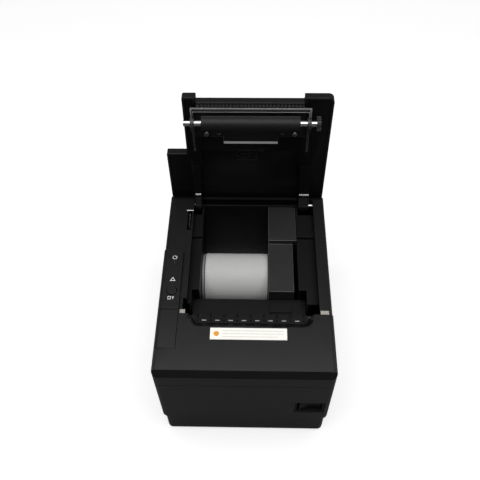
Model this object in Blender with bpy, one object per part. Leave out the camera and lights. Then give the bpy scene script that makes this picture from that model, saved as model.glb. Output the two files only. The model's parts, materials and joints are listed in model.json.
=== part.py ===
"""Receipt printer, 80 mm wide paper, cover open: a clamshell thermal printer with a cutter.

Metres, +Z up, +X to the printer's right as seen from its front, +Y to its rear.
The origin is the centre of the printer's footprint, on the surface that it stands on.
"""
import math

import bmesh
import bpy
from mathutils import Matrix, Vector

# ---------------------------------------------------------------- driving dimensions
GAP = 0.0003                 # gap between pieces that touch
RUNNING = 0.0006             # gap round pieces that move

CASE_WIDTH = 0.1450
CASE_DEPTH = 0.1854
CASE_WALL = 0.0025
CASE_CORNER = 0.0045         # radius of the upright corners
EDGE_ROUND = 0.0030          # radius along the long top edges
FOOT_HEIGHT = 0.0030         # clear height under the base
BASE_TOP = 0.0340
BASE_INSET = 0.0015
SEAM_Z = 0.1020              # parting line between lower and upper case
RAIL_TOP = 0.1190            # ledge that the cover closes on
PANEL_STEP = 0.0041          # front panel above that ledge
FRONT_CHAMFER = (0.0040, 0.0060)     # depth and height of the chamfer above the front face
BARREL = 0.0078              # radius of the rounded rear top edge, centred on the hinge
PANEL_DEPTH = 0.0537         # front face to the rear edge of the front panel
RIGHT_RAIL = 0.0105
LEFT_RAIL = 0.0230
PAPER_X = 0.0034             # middle of the paper path, off-centre to make room for the buttons

OPEN_ANGLE = math.radians(92.0)
COVER_THICK = 0.0076         # rim to outer face
COVER_RIM_GAP = 0.0007
COVER_SIDE_INSET = 0.0005
COVER_WALL = 0.0022
COVER_TAIL = 0.0100          # overhang behind the hinge
COVER_CORNER = 0.0045
NOTCH_HALF = 0.0449          # half width of the notch between the cover's two horns
NOTCH_DEPTH = 0.0052
LINER_FACE = 0.0005          # liner face above the cover's rim
ROOF_BEVEL = 0.0012          # rounding of the cover's top edges

CONTROL_WIDTH = 0.0173
CONTROL_DEPTH = 0.0540
CONTROL_STRIP = 0.0063       # fixed strip between control panel and release button
RELEASE_DEPTH = 0.0345
FEED_RADIUS = 0.0041
LENS_RADIUS = 0.0011

BIN_HALF = 0.0434            # half width inside the paper bin
BIN_WALL = 0.0020
BIN_FRONT = 0.0323           # behind the front panel's rear edge
BIN_REAR_INSET = 0.0006      # bin's rear inside face ahead of the hinge axis
BIN_FLOOR = 0.0513
SHELF_TOP = 0.1070
STEP_HEIGHT = 0.0040
STEP_DEPTH = 0.0868          # behind the front panel's rear edge
DECK_TOP = 0.0910
WELL_HALF = 0.0499

ROLL_RADIUS = 0.0230
ROLL_WIDTH = 0.0573
CORE_RADIUS = 0.0085
CORE_WALL = 0.0020
PARTITION_WIDTH = 0.0223
PARTITION_TOP = 0.1040

PLATEN_BACK = 0.0115         # platen axis behind the front panel's rear edge
PLATEN_DROP = 0.0100         # platen axis below the hinge axis, cover closed
PLATEN_RADIUS = 0.0060
PLATEN_HALF = 0.0400
SHAFT_RADIUS = 0.0025
SHEET = 0.0012               # steel sheet
CHEEK_OUT = 0.0486           # outer face of the platen bracket's cheeks from the paper's middle

GEAR_MODULE = 0.0006
GEAR_WIDTH = 0.0032
PLATEN_TEETH = 18
IDLER_TEETH = 46
PINION_TEETH = 12
MOTOR_RADIUS = 0.0125

BLADE_THICK = 0.0008
CUT_GEAR_TEETH = 16
CUT_GEAR_MODULE = 0.000625

LATCH_ANGLE = math.radians(17.0)

# ---------------------------------------------------------------- places that follow from them
CASE_TOP = RAIL_TOP + PANEL_STEP
HINGE_D = CASE_DEPTH - BARREL
HINGE_Z = RAIL_TOP - BARREL
RIM_H = BARREL + COVER_RIM_GAP
ROOF_H = RIM_H + COVER_THICK
COVER_REACH = HINGE_D - PANEL_DEPTH - 0.0004
OPEN_DEPTH = HINGE_D + ROOF_H * math.sin(OPEN_ANGLE) - COVER_REACH * math.cos(OPEN_ANGLE)
FRONT_Y = -OPEN_DEPTH / 2
HALF = CASE_WIDTH / 2
RAIL_LEFT_X = -HALF + LEFT_RAIL
RAIL_RIGHT_X = HALF - RIGHT_RAIL
PANEL_X = -HALF + CONTROL_WIDTH
CONTROL_D = PANEL_DEPTH + 0.0033 + CONTROL_STRIP
BIN_LEFT = PAPER_X - 0.0006 - BIN_HALF
BIN_RIGHT = PAPER_X - 0.0006 + BIN_HALF
BIN_FRONT_D = PANEL_DEPTH + BIN_FRONT
BIN_REAR_D = HINGE_D - BIN_REAR_INSET
PLATEN_D = PANEL_DEPTH + PLATEN_BACK
PLATEN_Z = HINGE_Z - PLATEN_DROP
HEAD_D = PLATEN_D - PLATEN_RADIUS - GAP
ROLL_D = BIN_FRONT_D + 0.0326
ROLL_Z = BIN_FLOOR + ROLL_RADIUS + 0.0004
BLADE_Z = HINGE_Z + 0.0023
LATCH_D = PLATEN_D - 0.0027
LATCH_Z = PLATEN_Z - 0.0172
MECH_LEFT = PAPER_X - 0.0506
MECH_RIGHT = PAPER_X + 0.0496
GEAR_X = PAPER_X + 0.0534
MOTOR_D = PANEL_DEPTH - 0.0157
MOTOR_Z = PLATEN_Z - 0.0232


def y_at(depth):
    """World Y of a place that lies this far behind the case's front face."""
    return FRONT_Y + depth


# ---------------------------------------------------------------- materials
def material(name, colour, roughness, metallic=0.0):
    found = bpy.data.materials.get(name)
    if found is not None:
        return found
    made = bpy.data.materials.new(name)
    made.use_nodes = True
    shader = made.node_tree.nodes["Principled BSDF"]
    shader.inputs["Base Color"].default_value = (*colour, 1.0)
    shader.inputs["Roughness"].default_value = roughness
    shader.inputs["Metallic"].default_value = metallic
    made.diffuse_color = (*colour, 1.0)
    return made


def case_plastic():
    return material("case_plastic", (0.012, 0.012, 0.013), 0.45)


def inner_plastic():
    return material("inner_plastic", (0.016, 0.016, 0.018), 0.38)


def bright_steel():
    return material("bright_steel", (0.62, 0.62, 0.61), 0.25, 1.0)


def dark_steel():
    return material("dark_steel", (0.20, 0.20, 0.21), 0.40, 1.0)


def rubber():
    return material("rubber", (0.020, 0.020, 0.022), 0.70)


def gear_plastic():
    return material("gear_plastic", (0.05, 0.05, 0.055), 0.45)


def thermal_paper():
    return material("thermal_paper", (0.80, 0.80, 0.80), 0.60)


def pale_plastic():
    return material("pale_plastic", (0.62, 0.58, 0.50), 0.55)


# ---------------------------------------------------------------- solids
def solid_from(bm, name="work"):
    bmesh.ops.recalc_face_normals(bm, faces=bm.faces)
    mesh = bpy.data.meshes.new(name)
    bm.to_mesh(mesh)
    bm.free()
    solid = bpy.data.objects.new(name, mesh)
    bpy.context.scene.collection.objects.link(solid)
    return solid


def loft(lower, upper):
    """A closed solid between two rings of equally many points."""
    bm = bmesh.new()
    low = [bm.verts.new(point) for point in lower]
    high = [bm.verts.new(point) for point in upper]
    count = len(low)
    bm.faces.new(low[::-1])
    bm.faces.new(high)
    for i in range(count):
        j = (i + 1) % count
        bm.faces.new((low[i], low[j], high[j], high[i]))
    return solid_from(bm)


def prism(points, axis, start, end):
    """Extrudes an outline: (y, z) points along x, (x, z) along y, or (x, y) along z."""
    place = {
        "x": lambda p, t: (t, p[0], p[1]),
        "y": lambda p, t: (p[0], t, p[1]),
        "z": lambda p, t: (p[0], p[1], t),
    }[axis]
    return loft([place(p, start) for p in points], [place(p, end) for p in points])


def box(x, y, z):
    return prism([(x[0], y[0]), (x[1], y[0]), (x[1], y[1]), (x[0], y[1])], "z", z[0], z[1])


def arc(centre, radius, first, last, steps):
    """Points on an arc between two angles in degrees."""
    angles = [math.radians(first + (last - first) * i / steps) for i in range(steps + 1)]
    return [(centre[0] + radius * math.cos(a), centre[1] + radius * math.sin(a)) for a in angles]


def circle(centre, radius, count=32):
    return arc(centre, radius, 0.0, 360.0 - 360.0 / count, count - 1)


def rounded(low, high, radius, steps=5):
    """Rectangle between two corners, with round corners."""
    (x0, y0), (x1, y1) = low, high
    points = arc((x1 - radius, y1 - radius), radius, 0, 90, steps)
    points += arc((x0 + radius, y1 - radius), radius, 90, 180, steps)
    points += arc((x0 + radius, y0 + radius), radius, 180, 270, steps)
    points += arc((x1 - radius, y0 + radius), radius, 270, 360, steps)
    return points


def fillet(points, radii, steps=4):
    """Outline whose corner i is rounded by radii[i]; a radius of 0 keeps it sharp."""
    result = []
    count = len(points)
    for i, radius in enumerate(radii):
        here = Vector(points[i])
        back = (Vector(points[i - 1]) - here).normalized()
        ahead = (Vector(points[(i + 1) % count]) - here).normalized()
        if radius == 0:
            result.append(tuple(here))
            continue
        half = back.angle(ahead) / 2
        centre = here + (back + ahead).normalized() * (radius / math.sin(half))
        start = here + back * (radius / math.tan(half)) - centre
        end = here + ahead * (radius / math.tan(half)) - centre
        turn = start.angle_signed(end)
        for step in range(steps + 1):
            result.append(tuple(centre + Matrix.Rotation(-turn * step / steps, 2) @ start))
    return result


def rod(axis, centre, radius, start, end, count=32):
    return prism(circle(centre, radius, count), axis, start, end)


def bake(solid):
    """Turns an object's modifiers into its mesh."""
    graph = bpy.context.evaluated_depsgraph_get()
    mesh = bpy.data.meshes.new_from_object(solid.evaluated_get(graph))
    solid.modifiers.clear()
    solid.data = mesh
    return solid


def boolean(solid, tools, operation):
    for tool in tools:
        step = solid.modifiers.new("step", "BOOLEAN")
        step.operation = operation
        step.solver = "EXACT"
        step.object = tool
        bake(solid)
        bpy.data.objects.remove(tool)
    return solid


def cut(solid, *tools):
    return boolean(solid, tools, "DIFFERENCE")


def join(solid, *tools):
    return boolean(solid, tools, "UNION")


def common(solid, *tools):
    return boolean(solid, tools, "INTERSECT")


def finish(solid, name, look, origin=(0.0, 0.0, 0.0), parent=None):
    """Names a solid, gives it its material and puts its origin at the given place."""
    bm = bmesh.new()
    bm.from_mesh(solid.data)
    bmesh.ops.remove_doubles(bm, verts=bm.verts, dist=1e-6)
    bmesh.ops.translate(bm, verts=bm.verts, vec=-Vector(origin))
    bmesh.ops.recalc_face_normals(bm, faces=bm.faces)
    bm.to_mesh(solid.data)
    bm.free()
    solid.name = name
    solid.data.name = name
    solid.data.materials.clear()
    solid.data.materials.append(look)
    solid.data.shade_smooth()
    solid.data.set_sharp_from_angle(angle=math.radians(30))
    solid.location = origin
    if parent is not None:
        solid.parent = parent
    return solid


def pivot(name, place, angle=0.0, axis=0, parent=None):
    empty = bpy.data.objects.new(name, None)
    empty.empty_display_size = 0.01
    empty.location = place
    empty.rotation_euler[axis] = angle
    empty.parent = parent
    bpy.context.scene.collection.objects.link(empty)
    return empty


def clear_scene():
    for item in list(bpy.data.objects):
        bpy.data.objects.remove(item)


# ---------------------------------------------------------------- gears
def gear_outline(centre, teeth, module, phase):
    """Gear outline with straight-sided teeth, a little thin so that a pair meshes freely."""
    pitch = teeth * module / 2
    root = pitch - 1.15 * module
    tip = pitch + 0.80 * module
    points = []
    for tooth in range(teeth):
        middle = phase + tooth * math.tau / teeth
        for radius, share in ((root, -0.30), (tip, -0.12), (tip, 0.12), (root, 0.30)):
            angle = middle + share * math.tau / teeth
            points.append((centre[0] + radius * math.cos(angle), centre[1] + radius * math.sin(angle)))
    return points


def gear_pitch(teeth, module=GEAR_MODULE):
    return teeth * module / 2


def idler_centre():
    """The idler meets both the motor pinion and, when the cover is closed, the platen gear."""
    start = Vector((MOTOR_D, MOTOR_Z))
    line = Vector((PLATEN_D, PLATEN_Z)) - start
    near = gear_pitch(PINION_TEETH) + gear_pitch(IDLER_TEETH)
    far = gear_pitch(PLATEN_TEETH) + gear_pitch(IDLER_TEETH)
    along = (near ** 2 - far ** 2 + line.length_squared) / (2 * line.length)
    aside = math.sqrt(max(near ** 2 - along ** 2, 0.0))
    unit = line.normalized()
    return start + unit * along + Vector((-unit.y, unit.x)) * aside


# ---------------------------------------------------------------- case
BASE_WALL_X = HALF - BASE_INSET - 0.00025
FRAME_POSTS = [(x, d) for x in (MECH_LEFT + 0.008, MECH_RIGHT - 0.008) for d in (0.026, 0.050)]
BOARD_POSTS = [(x, d) for x in (-0.052, 0.052) for d in (0.070, 0.160)]
FOOT_PLACES = {
    "front_left": (-1, 0), "front_right": (1, 0), "rear_left": (-1, 1), "rear_right": (1, 1),
}
FOOT_RADIUS = 0.0080
MECH_FLOOR = 0.0480
BOARD_Z = 0.0100
BOARD_THICK = 0.0016
PORT_HALF = 0.0520


def foot_centre(side, end):
    inset = 0.018
    depth = BASE_INSET + inset if end == 0 else CASE_DEPTH - BASE_INSET - inset
    return side * (HALF - inset), y_at(depth)


def base_tray():
    front, rear = y_at(BASE_INSET), y_at(CASE_DEPTH - BASE_INSET)
    side = BASE_WALL_X
    tray = prism(rounded((-side, front), (side, rear), CASE_CORNER), "z", FOOT_HEIGHT, BASE_TOP)
    inner = rounded((-side + CASE_WALL, front + CASE_WALL), (side - CASE_WALL, rear - CASE_WALL),
                    CASE_CORNER - 0.002)
    floor = FOOT_HEIGHT + CASE_WALL
    cut(tray, prism(inner, "z", floor, BASE_TOP + 0.01))
    cut(tray, box((-PORT_HALF, PORT_HALF), (rear - 0.01, rear + 0.01), (0.0070, BASE_TOP + 0.01)))
    for place in FOOT_PLACES.values():
        centre = foot_centre(*place)
        cut(tray, rod("z", centre, FOOT_RADIUS + GAP, FOOT_HEIGHT - 0.01, FOOT_HEIGHT + 0.0012))
    for x, depth in BOARD_POSTS:
        join(tray, rod("z", (x, y_at(depth)), 0.0032, floor - 0.001, BOARD_Z - GAP, 20))
    for x, depth in FRAME_POSTS:
        join(tray, rod("z", (x, y_at(depth)), 0.0040, floor - 0.001, MECH_FLOOR - GAP, 20))
    return finish(tray, "base_tray", case_plastic())


def feet():
    for name, place in FOOT_PLACES.items():
        foot = rod("z", foot_centre(*place), FOOT_RADIUS, 0.0, FOOT_HEIGHT + 0.0012 - GAP)
        finish(foot, "foot_" + name, rubber())


SWITCH_X = (0.0425, 0.0677)
SWITCH_Z = (0.0473, 0.0687)
BRACKET_D = (0.0345, 0.0980)         # bin brackets behind the front panel's rear edge
BRACKET_LENGTH = 0.0120


def lower_case():
    bottom, top = BASE_TOP + GAP, SEAM_Z - GAP / 2
    front, rear = y_at(0.0), y_at(CASE_DEPTH)
    shell = prism(rounded((-HALF, front), (HALF, rear), CASE_CORNER), "z", bottom, top)
    hollow = rounded((-HALF + CASE_WALL, front + CASE_WALL), (HALF - CASE_WALL, rear - CASE_WALL),
                     CASE_CORNER - 0.002)
    lip = BASE_INSET + CASE_WALL
    narrow = rounded((-HALF + lip, front + lip), (HALF - lip, rear - lip), CASE_CORNER - 0.002)
    cut(shell, prism(hollow, "z", bottom + 0.0022, top + 0.01))
    cut(shell, prism(narrow, "z", bottom - 0.01, bottom + 0.01))
    cut(shell, box(SWITCH_X, (front - 0.01, front + 0.01), SWITCH_Z))
    for offset in BRACKET_D:
        span = (y_at(PANEL_DEPTH + offset), y_at(PANEL_DEPTH + offset + BRACKET_LENGTH))
        join(shell, box((-HALF + 0.001, RAIL_LEFT_X + 0.0015), span, (top - 0.003, top)))
        join(shell, box((RAIL_RIGHT_X - 0.0015, HALF - 0.001), span, (top - 0.003, top)))
    return finish(shell, "lower_case", case_plastic())


def band(width_low, width_high, depth_profile, top):
    """Case block: a side profile (depth, z), with its long top edges rounded."""
    side = [(y_at(d), z) for d, z in depth_profile]
    block = prism(side, "x", width_low, width_high)
    across = [(width_low, 0.0), (width_high, 0.0), (width_high, top), (width_low, top)]
    across = fillet(across, (0, 0, EDGE_ROUND, EDGE_ROUND))
    return common(block, prism(across, "y", y_at(-0.01), y_at(CASE_DEPTH + 0.01)))


ARM_WIDTH_LEFT = (RAIL_LEFT_X + RUNNING, BIN_LEFT - BIN_WALL - 0.0005)
ARM_WIDTH_RIGHT = (BIN_RIGHT + BIN_WALL + 0.0007, BIN_RIGHT + BIN_WALL + 0.0102)
KNUCKLE = 0.0060
PIN_RADIUS = 0.0020
LUG = 0.0075
REAR_EDGE_Z = 0.1150
POCKET_X = 0.0046
POCKET_HALF = 0.0482
POCKET_BEVEL = 0.0067
POCKET_REACH = 0.0053                # flat inner edge ahead of the panel's rear edge
PAD_DEPTH = 0.0050
SHAFT_SLOT_X = (-0.0525, -0.0480)    # lets the platen shaft's left end down past the rail
SHAFT_SLOT_D = (0.0600, 0.0704)
SPRING_SLOT_D = (0.1420, 0.1650)
SPRING_SLOT_X = (RAIL_LEFT_X - 0.0052, RAIL_LEFT_X - 0.0016)


def pocket_cutter():
    """Bevelled hollow in the front panel that the receipt comes out of."""
    floor_z = CASE_TOP - POCKET_BEVEL
    rings = []
    for grow, z in ((-0.003, floor_z - 0.003), (POCKET_BEVEL + 0.003, CASE_TOP + 0.003)):
        low = (POCKET_X - POCKET_HALF - grow * 0.55, y_at(PANEL_DEPTH - POCKET_REACH - grow))
        high = (POCKET_X + POCKET_HALF + grow * 0.55, y_at(PANEL_DEPTH + 0.030))
        rings.append([(x, y, z) for x, y in rounded(low, high, 0.006 + grow * 0.5)])
    return loft(rings[0], rings[1])


def release_opening():
    rear = CONTROL_D - CONTROL_STRIP + GAP
    span = (y_at(rear - RELEASE_DEPTH - 2 * GAP), y_at(rear))
    return box((-HALF - 0.01, PANEL_X + GAP), span, (CASE_TOP - 0.010, CASE_TOP + 0.01))


def upper_case():
    bottom = SEAM_Z + GAP / 2
    deep, high = FRONT_CHAMFER
    front = [(0.0, bottom), (PANEL_DEPTH, bottom), (PANEL_DEPTH, CASE_TOP), (deep, CASE_TOP),
             (0.0, CASE_TOP - high)]
    barrel = [(HINGE_D + x, HINGE_Z + z) for x, z in arc((0, 0), BARREL, 90, 0, 8)]
    rear = [(PANEL_DEPTH - 0.01, bottom), (PANEL_DEPTH - 0.01, RAIL_TOP)] + barrel
    rear += [(CASE_DEPTH, bottom)]
    strip = [(PANEL_DEPTH - 0.01, bottom), (CONTROL_D - GAP, bottom), (CONTROL_D - GAP, CASE_TOP),
             (PANEL_DEPTH - 0.01, CASE_TOP)]
    case = band(-HALF, HALF, front, CASE_TOP)
    join(case, band(-HALF, HALF, rear[::-1], RAIL_TOP))
    join(case, common(band(-HALF, HALF, strip, CASE_TOP),
                      box((-HALF - 0.01, PANEL_X), (y_at(0.0), y_at(0.1)), (0.0, 0.2))))
    corners = rounded((-HALF, y_at(0.0)), (HALF, y_at(CASE_DEPTH)), CASE_CORNER)
    common(case, prism(corners, "z", 0.0, 0.3))

    # hollow inside, the same profile one wall in
    wall = CASE_WALL
    hollow = [(wall, bottom - 0.01), (PANEL_DEPTH - wall, bottom - 0.01),
              (PANEL_DEPTH - wall, CASE_TOP - wall), (deep + 0.001, CASE_TOP - wall),
              (wall, CASE_TOP - high - 0.001)]
    cut(case, prism([(y_at(d), z) for d, z in hollow], "x", -HALF + wall, HALF - wall))
    inner = [(HINGE_D + x, HINGE_Z + z) for x, z in arc((0, 0), BARREL - wall, 90, 0, 6)]
    hollow = [(PANEL_DEPTH - wall - 0.001, bottom - 0.01), (PANEL_DEPTH - wall - 0.001, RAIL_TOP - wall)]
    hollow += inner + [(CASE_DEPTH - wall, bottom - 0.01)]
    cut(case, prism([(y_at(d), z) for d, z in hollow[::-1]], "x", -HALF + wall, HALF - wall))

    # material round the exit pocket and the hinge lugs
    block = box((POCKET_X - POCKET_HALF - 0.006, POCKET_X + POCKET_HALF + 0.006),
                (y_at(PANEL_DEPTH - 0.0135), y_at(PANEL_DEPTH)), (CASE_TOP - POCKET_BEVEL, CASE_TOP - 0.001))
    join(case, block)
    lug_span = (y_at(HINGE_D - KNUCKLE), y_at(CASE_DEPTH - 0.001))
    lug_z = (HINGE_Z - KNUCKLE, RAIL_TOP - 0.001)
    for inner_x, sign in ((ARM_WIDTH_LEFT[0] - RUNNING, -1), (ARM_WIDTH_RIGHT[1] + RUNNING, 1)):
        lug = box(sorted((inner_x, inner_x + sign * LUG)), lug_span, lug_z)
        join(case, common(lug, prism([(y_at(d), z) for d, z in rear[::-1]], "x", -HALF, HALF)))

    # opening for the paper bin, with the rear edge left standing between the hinge arms
    opening = box((RAIL_LEFT_X, RAIL_RIGHT_X), (y_at(PANEL_DEPTH), y_at(HINGE_D)), (0.09, 0.2))
    cut(case, opening)
    cut(case, box((ARM_WIDTH_LEFT[1] + RUNNING, ARM_WIDTH_RIGHT[0] - RUNNING),
                  (y_at(HINGE_D - 0.02), y_at(CASE_DEPTH + 0.01)), (REAR_EDGE_Z, 0.2)))
    for low, high_x in (ARM_WIDTH_LEFT, ARM_WIDTH_RIGHT):
        cut(case, box((low - RUNNING, high_x + RUNNING), (y_at(HINGE_D - 0.03), y_at(CASE_DEPTH + 0.01)),
                      (HINGE_Z - KNUCKLE - RUNNING, 0.2)))
    cut(case, rod("x", (y_at(HINGE_D), HINGE_Z), PIN_RADIUS + GAP, ARM_WIDTH_LEFT[0] - RUNNING - LUG + 0.001,
                  ARM_WIDTH_RIGHT[1] + RUNNING + LUG - 0.001, 24))
    cut(case, pocket_cutter())
    cut(case, release_opening())
    cut(case, rod("z", (FEED_X, y_at(FEED_D)), 0.0026, 0.10, CASE_TOP - 0.001, 20))
    pad = (y_at(PANEL_DEPTH + GAP), y_at(PANEL_DEPTH + PAD_DEPTH + 3 * GAP))
    for span in pad_spans(GAP):
        cut(case, box(span, pad, (RAIL_TOP - 0.0015, 0.2)))
    for slot_x, slot_d in ((SPRING_SLOT_X, SPRING_SLOT_D), (SHAFT_SLOT_X, SHAFT_SLOT_D)):
        cut(case, box(slot_x, (y_at(slot_d[0]), y_at(slot_d[1])), (0.11, 0.2)))
    return finish(case, "upper_case", case_plastic())


def pad_spans(grow=0.0):
    right = (RAIL_RIGHT_X + 0.0005 - grow, HALF - EDGE_ROUND + grow)
    left = (PANEL_X + 0.0006 - grow, RAIL_LEFT_X - 0.0005 + grow)
    return left, right


def rail_pads():
    span_y = (y_at(PANEL_DEPTH + 2 * GAP), y_at(PANEL_DEPTH + PAD_DEPTH + 2 * GAP))
    for name, span in zip(("rail_pad_left", "rail_pad_right"), pad_spans()):
        pad = box(span, span_y, (RAIL_TOP - 0.0015 + GAP, RAIL_TOP + 0.0003))
        finish(pad, name, pale_plastic())


# ---------------------------------------------------------------- controls
FEED_X = PANEL_X - 0.0070
FEED_D = CONTROL_D + 0.0118
LENS_PLACES = {"error_lens": CONTROL_D + 0.0182, "power_lens": CONTROL_D + 0.0402}


def control_panel():
    span = [(CONTROL_D, 0.0), (CONTROL_D + CONTROL_DEPTH, 0.0), (CONTROL_D + CONTROL_DEPTH, CASE_TOP),
            (CONTROL_D, CASE_TOP)]
    panel = band(-HALF, HALF, span, CASE_TOP)
    common(panel, box((-HALF - 0.01, PANEL_X), (y_at(0.0), y_at(CASE_DEPTH)), (RAIL_TOP + GAP, 0.2)))
    cut(panel, rod("z", (FEED_X, y_at(FEED_D)), FEED_RADIUS + GAP, 0.1, 0.2))
    for depth in LENS_PLACES.values():
        cut(panel, rod("z", (FEED_X, y_at(depth)), LENS_RADIUS + 0.00015, 0.1, 0.2, 16))
    return finish(panel, "control_panel", case_plastic())


def lenses():
    green = material("power_lens", (0.10, 0.25, 0.12), 0.2)
    red = material("error_lens", (0.30, 0.05, 0.04), 0.2)
    for (name, depth), look in zip(LENS_PLACES.items(), (red, green)):
        lens = rod("z", (FEED_X, y_at(depth)), LENS_RADIUS, RAIL_TOP + GAP, CASE_TOP + 0.0001, 16)
        finish(lens, name, look)


FEED_TRAVEL = 0.0008


def feed_button():
    centre = (FEED_X, y_at(FEED_D))
    cap = rod("z", centre, FEED_RADIUS, RAIL_TOP + 0.0013, CASE_TOP + FEED_TRAVEL, 36)
    join(cap, rod("z", centre, 0.0020, PANEL_BOARD_Z + FEED_TRAVEL + GAP + 0.0006, RAIL_TOP + 0.0018, 20))
    return finish(cap, "feed_button", case_plastic(), (centre[0], centre[1], CASE_TOP))


PANEL_BOARD_Z = 0.1125


def panel_board():
    """Small circuit board under the control strip, held by two posts under the left rail."""
    low, high = CONTROL_D + 0.004, CONTROL_D + CONTROL_DEPTH - 0.006
    left, right = -HALF + CASE_WALL + 0.001, RAIL_LEFT_X - 0.0055
    board = box((left, right), (y_at(low), y_at(high)), (PANEL_BOARD_Z - 0.0012, PANEL_BOARD_Z))
    join(board, box((FEED_X - 0.003, FEED_X + 0.003), (y_at(FEED_D - 0.003), y_at(FEED_D + 0.003)),
                    (PANEL_BOARD_Z - 0.0004, PANEL_BOARD_Z + 0.0006)))
    for depth in (low + 0.003, high - 0.003):
        join(board, rod("z", (FEED_X, y_at(depth)), 0.0015, PANEL_BOARD_Z - 0.0004,
                        RAIL_TOP - CASE_WALL - GAP, 16))
    return finish(board, "panel_board", material("circuit_board", (0.02, 0.12, 0.06), 0.5))


def release_button():
    rear = CONTROL_D - CONTROL_STRIP
    profile = [(rear - RELEASE_DEPTH, 0.0), (rear, 0.0), (rear, CASE_TOP), (rear - RELEASE_DEPTH, CASE_TOP)]
    button = band(-HALF, HALF, profile, CASE_TOP)
    common(button, box((-HALF - 0.01, PANEL_X), (y_at(0.0), y_at(CASE_DEPTH)), (CASE_TOP - 0.0097, 0.2)))
    hollow = box((-HALF + 0.0022, PANEL_X + 0.01), (y_at(rear - RELEASE_DEPTH - 0.01), y_at(rear + 0.01)),
                 (0.1, CASE_TOP - 0.0022))
    cut(button, hollow)
    stem = box((LEVER_X[0], LEVER_X[1]), (y_at(LATCH_D - 0.0125), y_at(LATCH_D - 0.0085)),
               (LATCH_Z + 0.0024 + GAP, CASE_TOP - 0.0020))
    join(button, stem)
    origin = (-HALF + CONTROL_WIDTH / 2, y_at(rear - RELEASE_DEPTH / 2), CASE_TOP)
    return finish(button, "release_button", case_plastic(), origin)


ROCKER_TILT = math.radians(8.0)
ROCKER_HALF = 0.0096


def power_switch():
    x0, x1 = SWITCH_X[0] + GAP, SWITCH_X[1] - GAP
    z0, z1 = SWITCH_Z[0] + GAP, SWITCH_Z[1] - GAP
    housing = box((x0, x1), (y_at(0.0008), y_at(0.0190)), (z0, z1))
    middle = ((x0 + x1) / 2, (z0 + z1) / 2)
    cut(housing, box((x0 + 0.0015, x1 - 0.0015), (y_at(-0.01), y_at(0.0050)), (z0 + 0.0015, z1 - 0.0015)))
    slot_x = ROCKER_HALF + 0.0010
    cut(housing, box((middle[0] - slot_x, middle[0] + slot_x), (y_at(0.0), y_at(0.0160)),
                     (middle[1] - 0.0070, middle[1] + 0.0070)))
    finish(housing, "power_switch_housing", inner_plastic())

    axis_d = 0.0085
    face = [(-ROCKER_HALF, -0.0062), (0.0, -0.0048), (ROCKER_HALF, -0.0062), (ROCKER_HALF, -0.0030),
            (0.0030, 0.0045), (-0.0030, 0.0045), (-ROCKER_HALF, -0.0030)]
    rocker = prism(face, "z", -0.0066, 0.0066)
    hinge = pivot("rocker_axis", (middle[0], y_at(axis_d), middle[1]), ROCKER_TILT, axis=2)
    finish(rocker, "power_rocker", inner_plastic(), parent=hinge)


# ---------------------------------------------------------------- paper bin and paper
def bin_profile(grow, top):
    """Side outline (y, z) of the bin's inside, grown outward by a distance."""
    front, rear = BIN_FRONT_D - grow, BIN_REAR_D + grow
    floor = BIN_FLOOR - grow
    small, large = ROLL_D - front, rear - ROLL_D
    lower = arc((y_at(ROLL_D), floor + small), small, 180, 270, 8)
    upper = arc((y_at(ROLL_D), floor + large), large, 270, 360, 12)[1:]
    return [(y_at(front), top)] + lower + upper + [(y_at(rear), top)]


def rear_step_d():
    return PANEL_DEPTH + STEP_DEPTH


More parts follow.
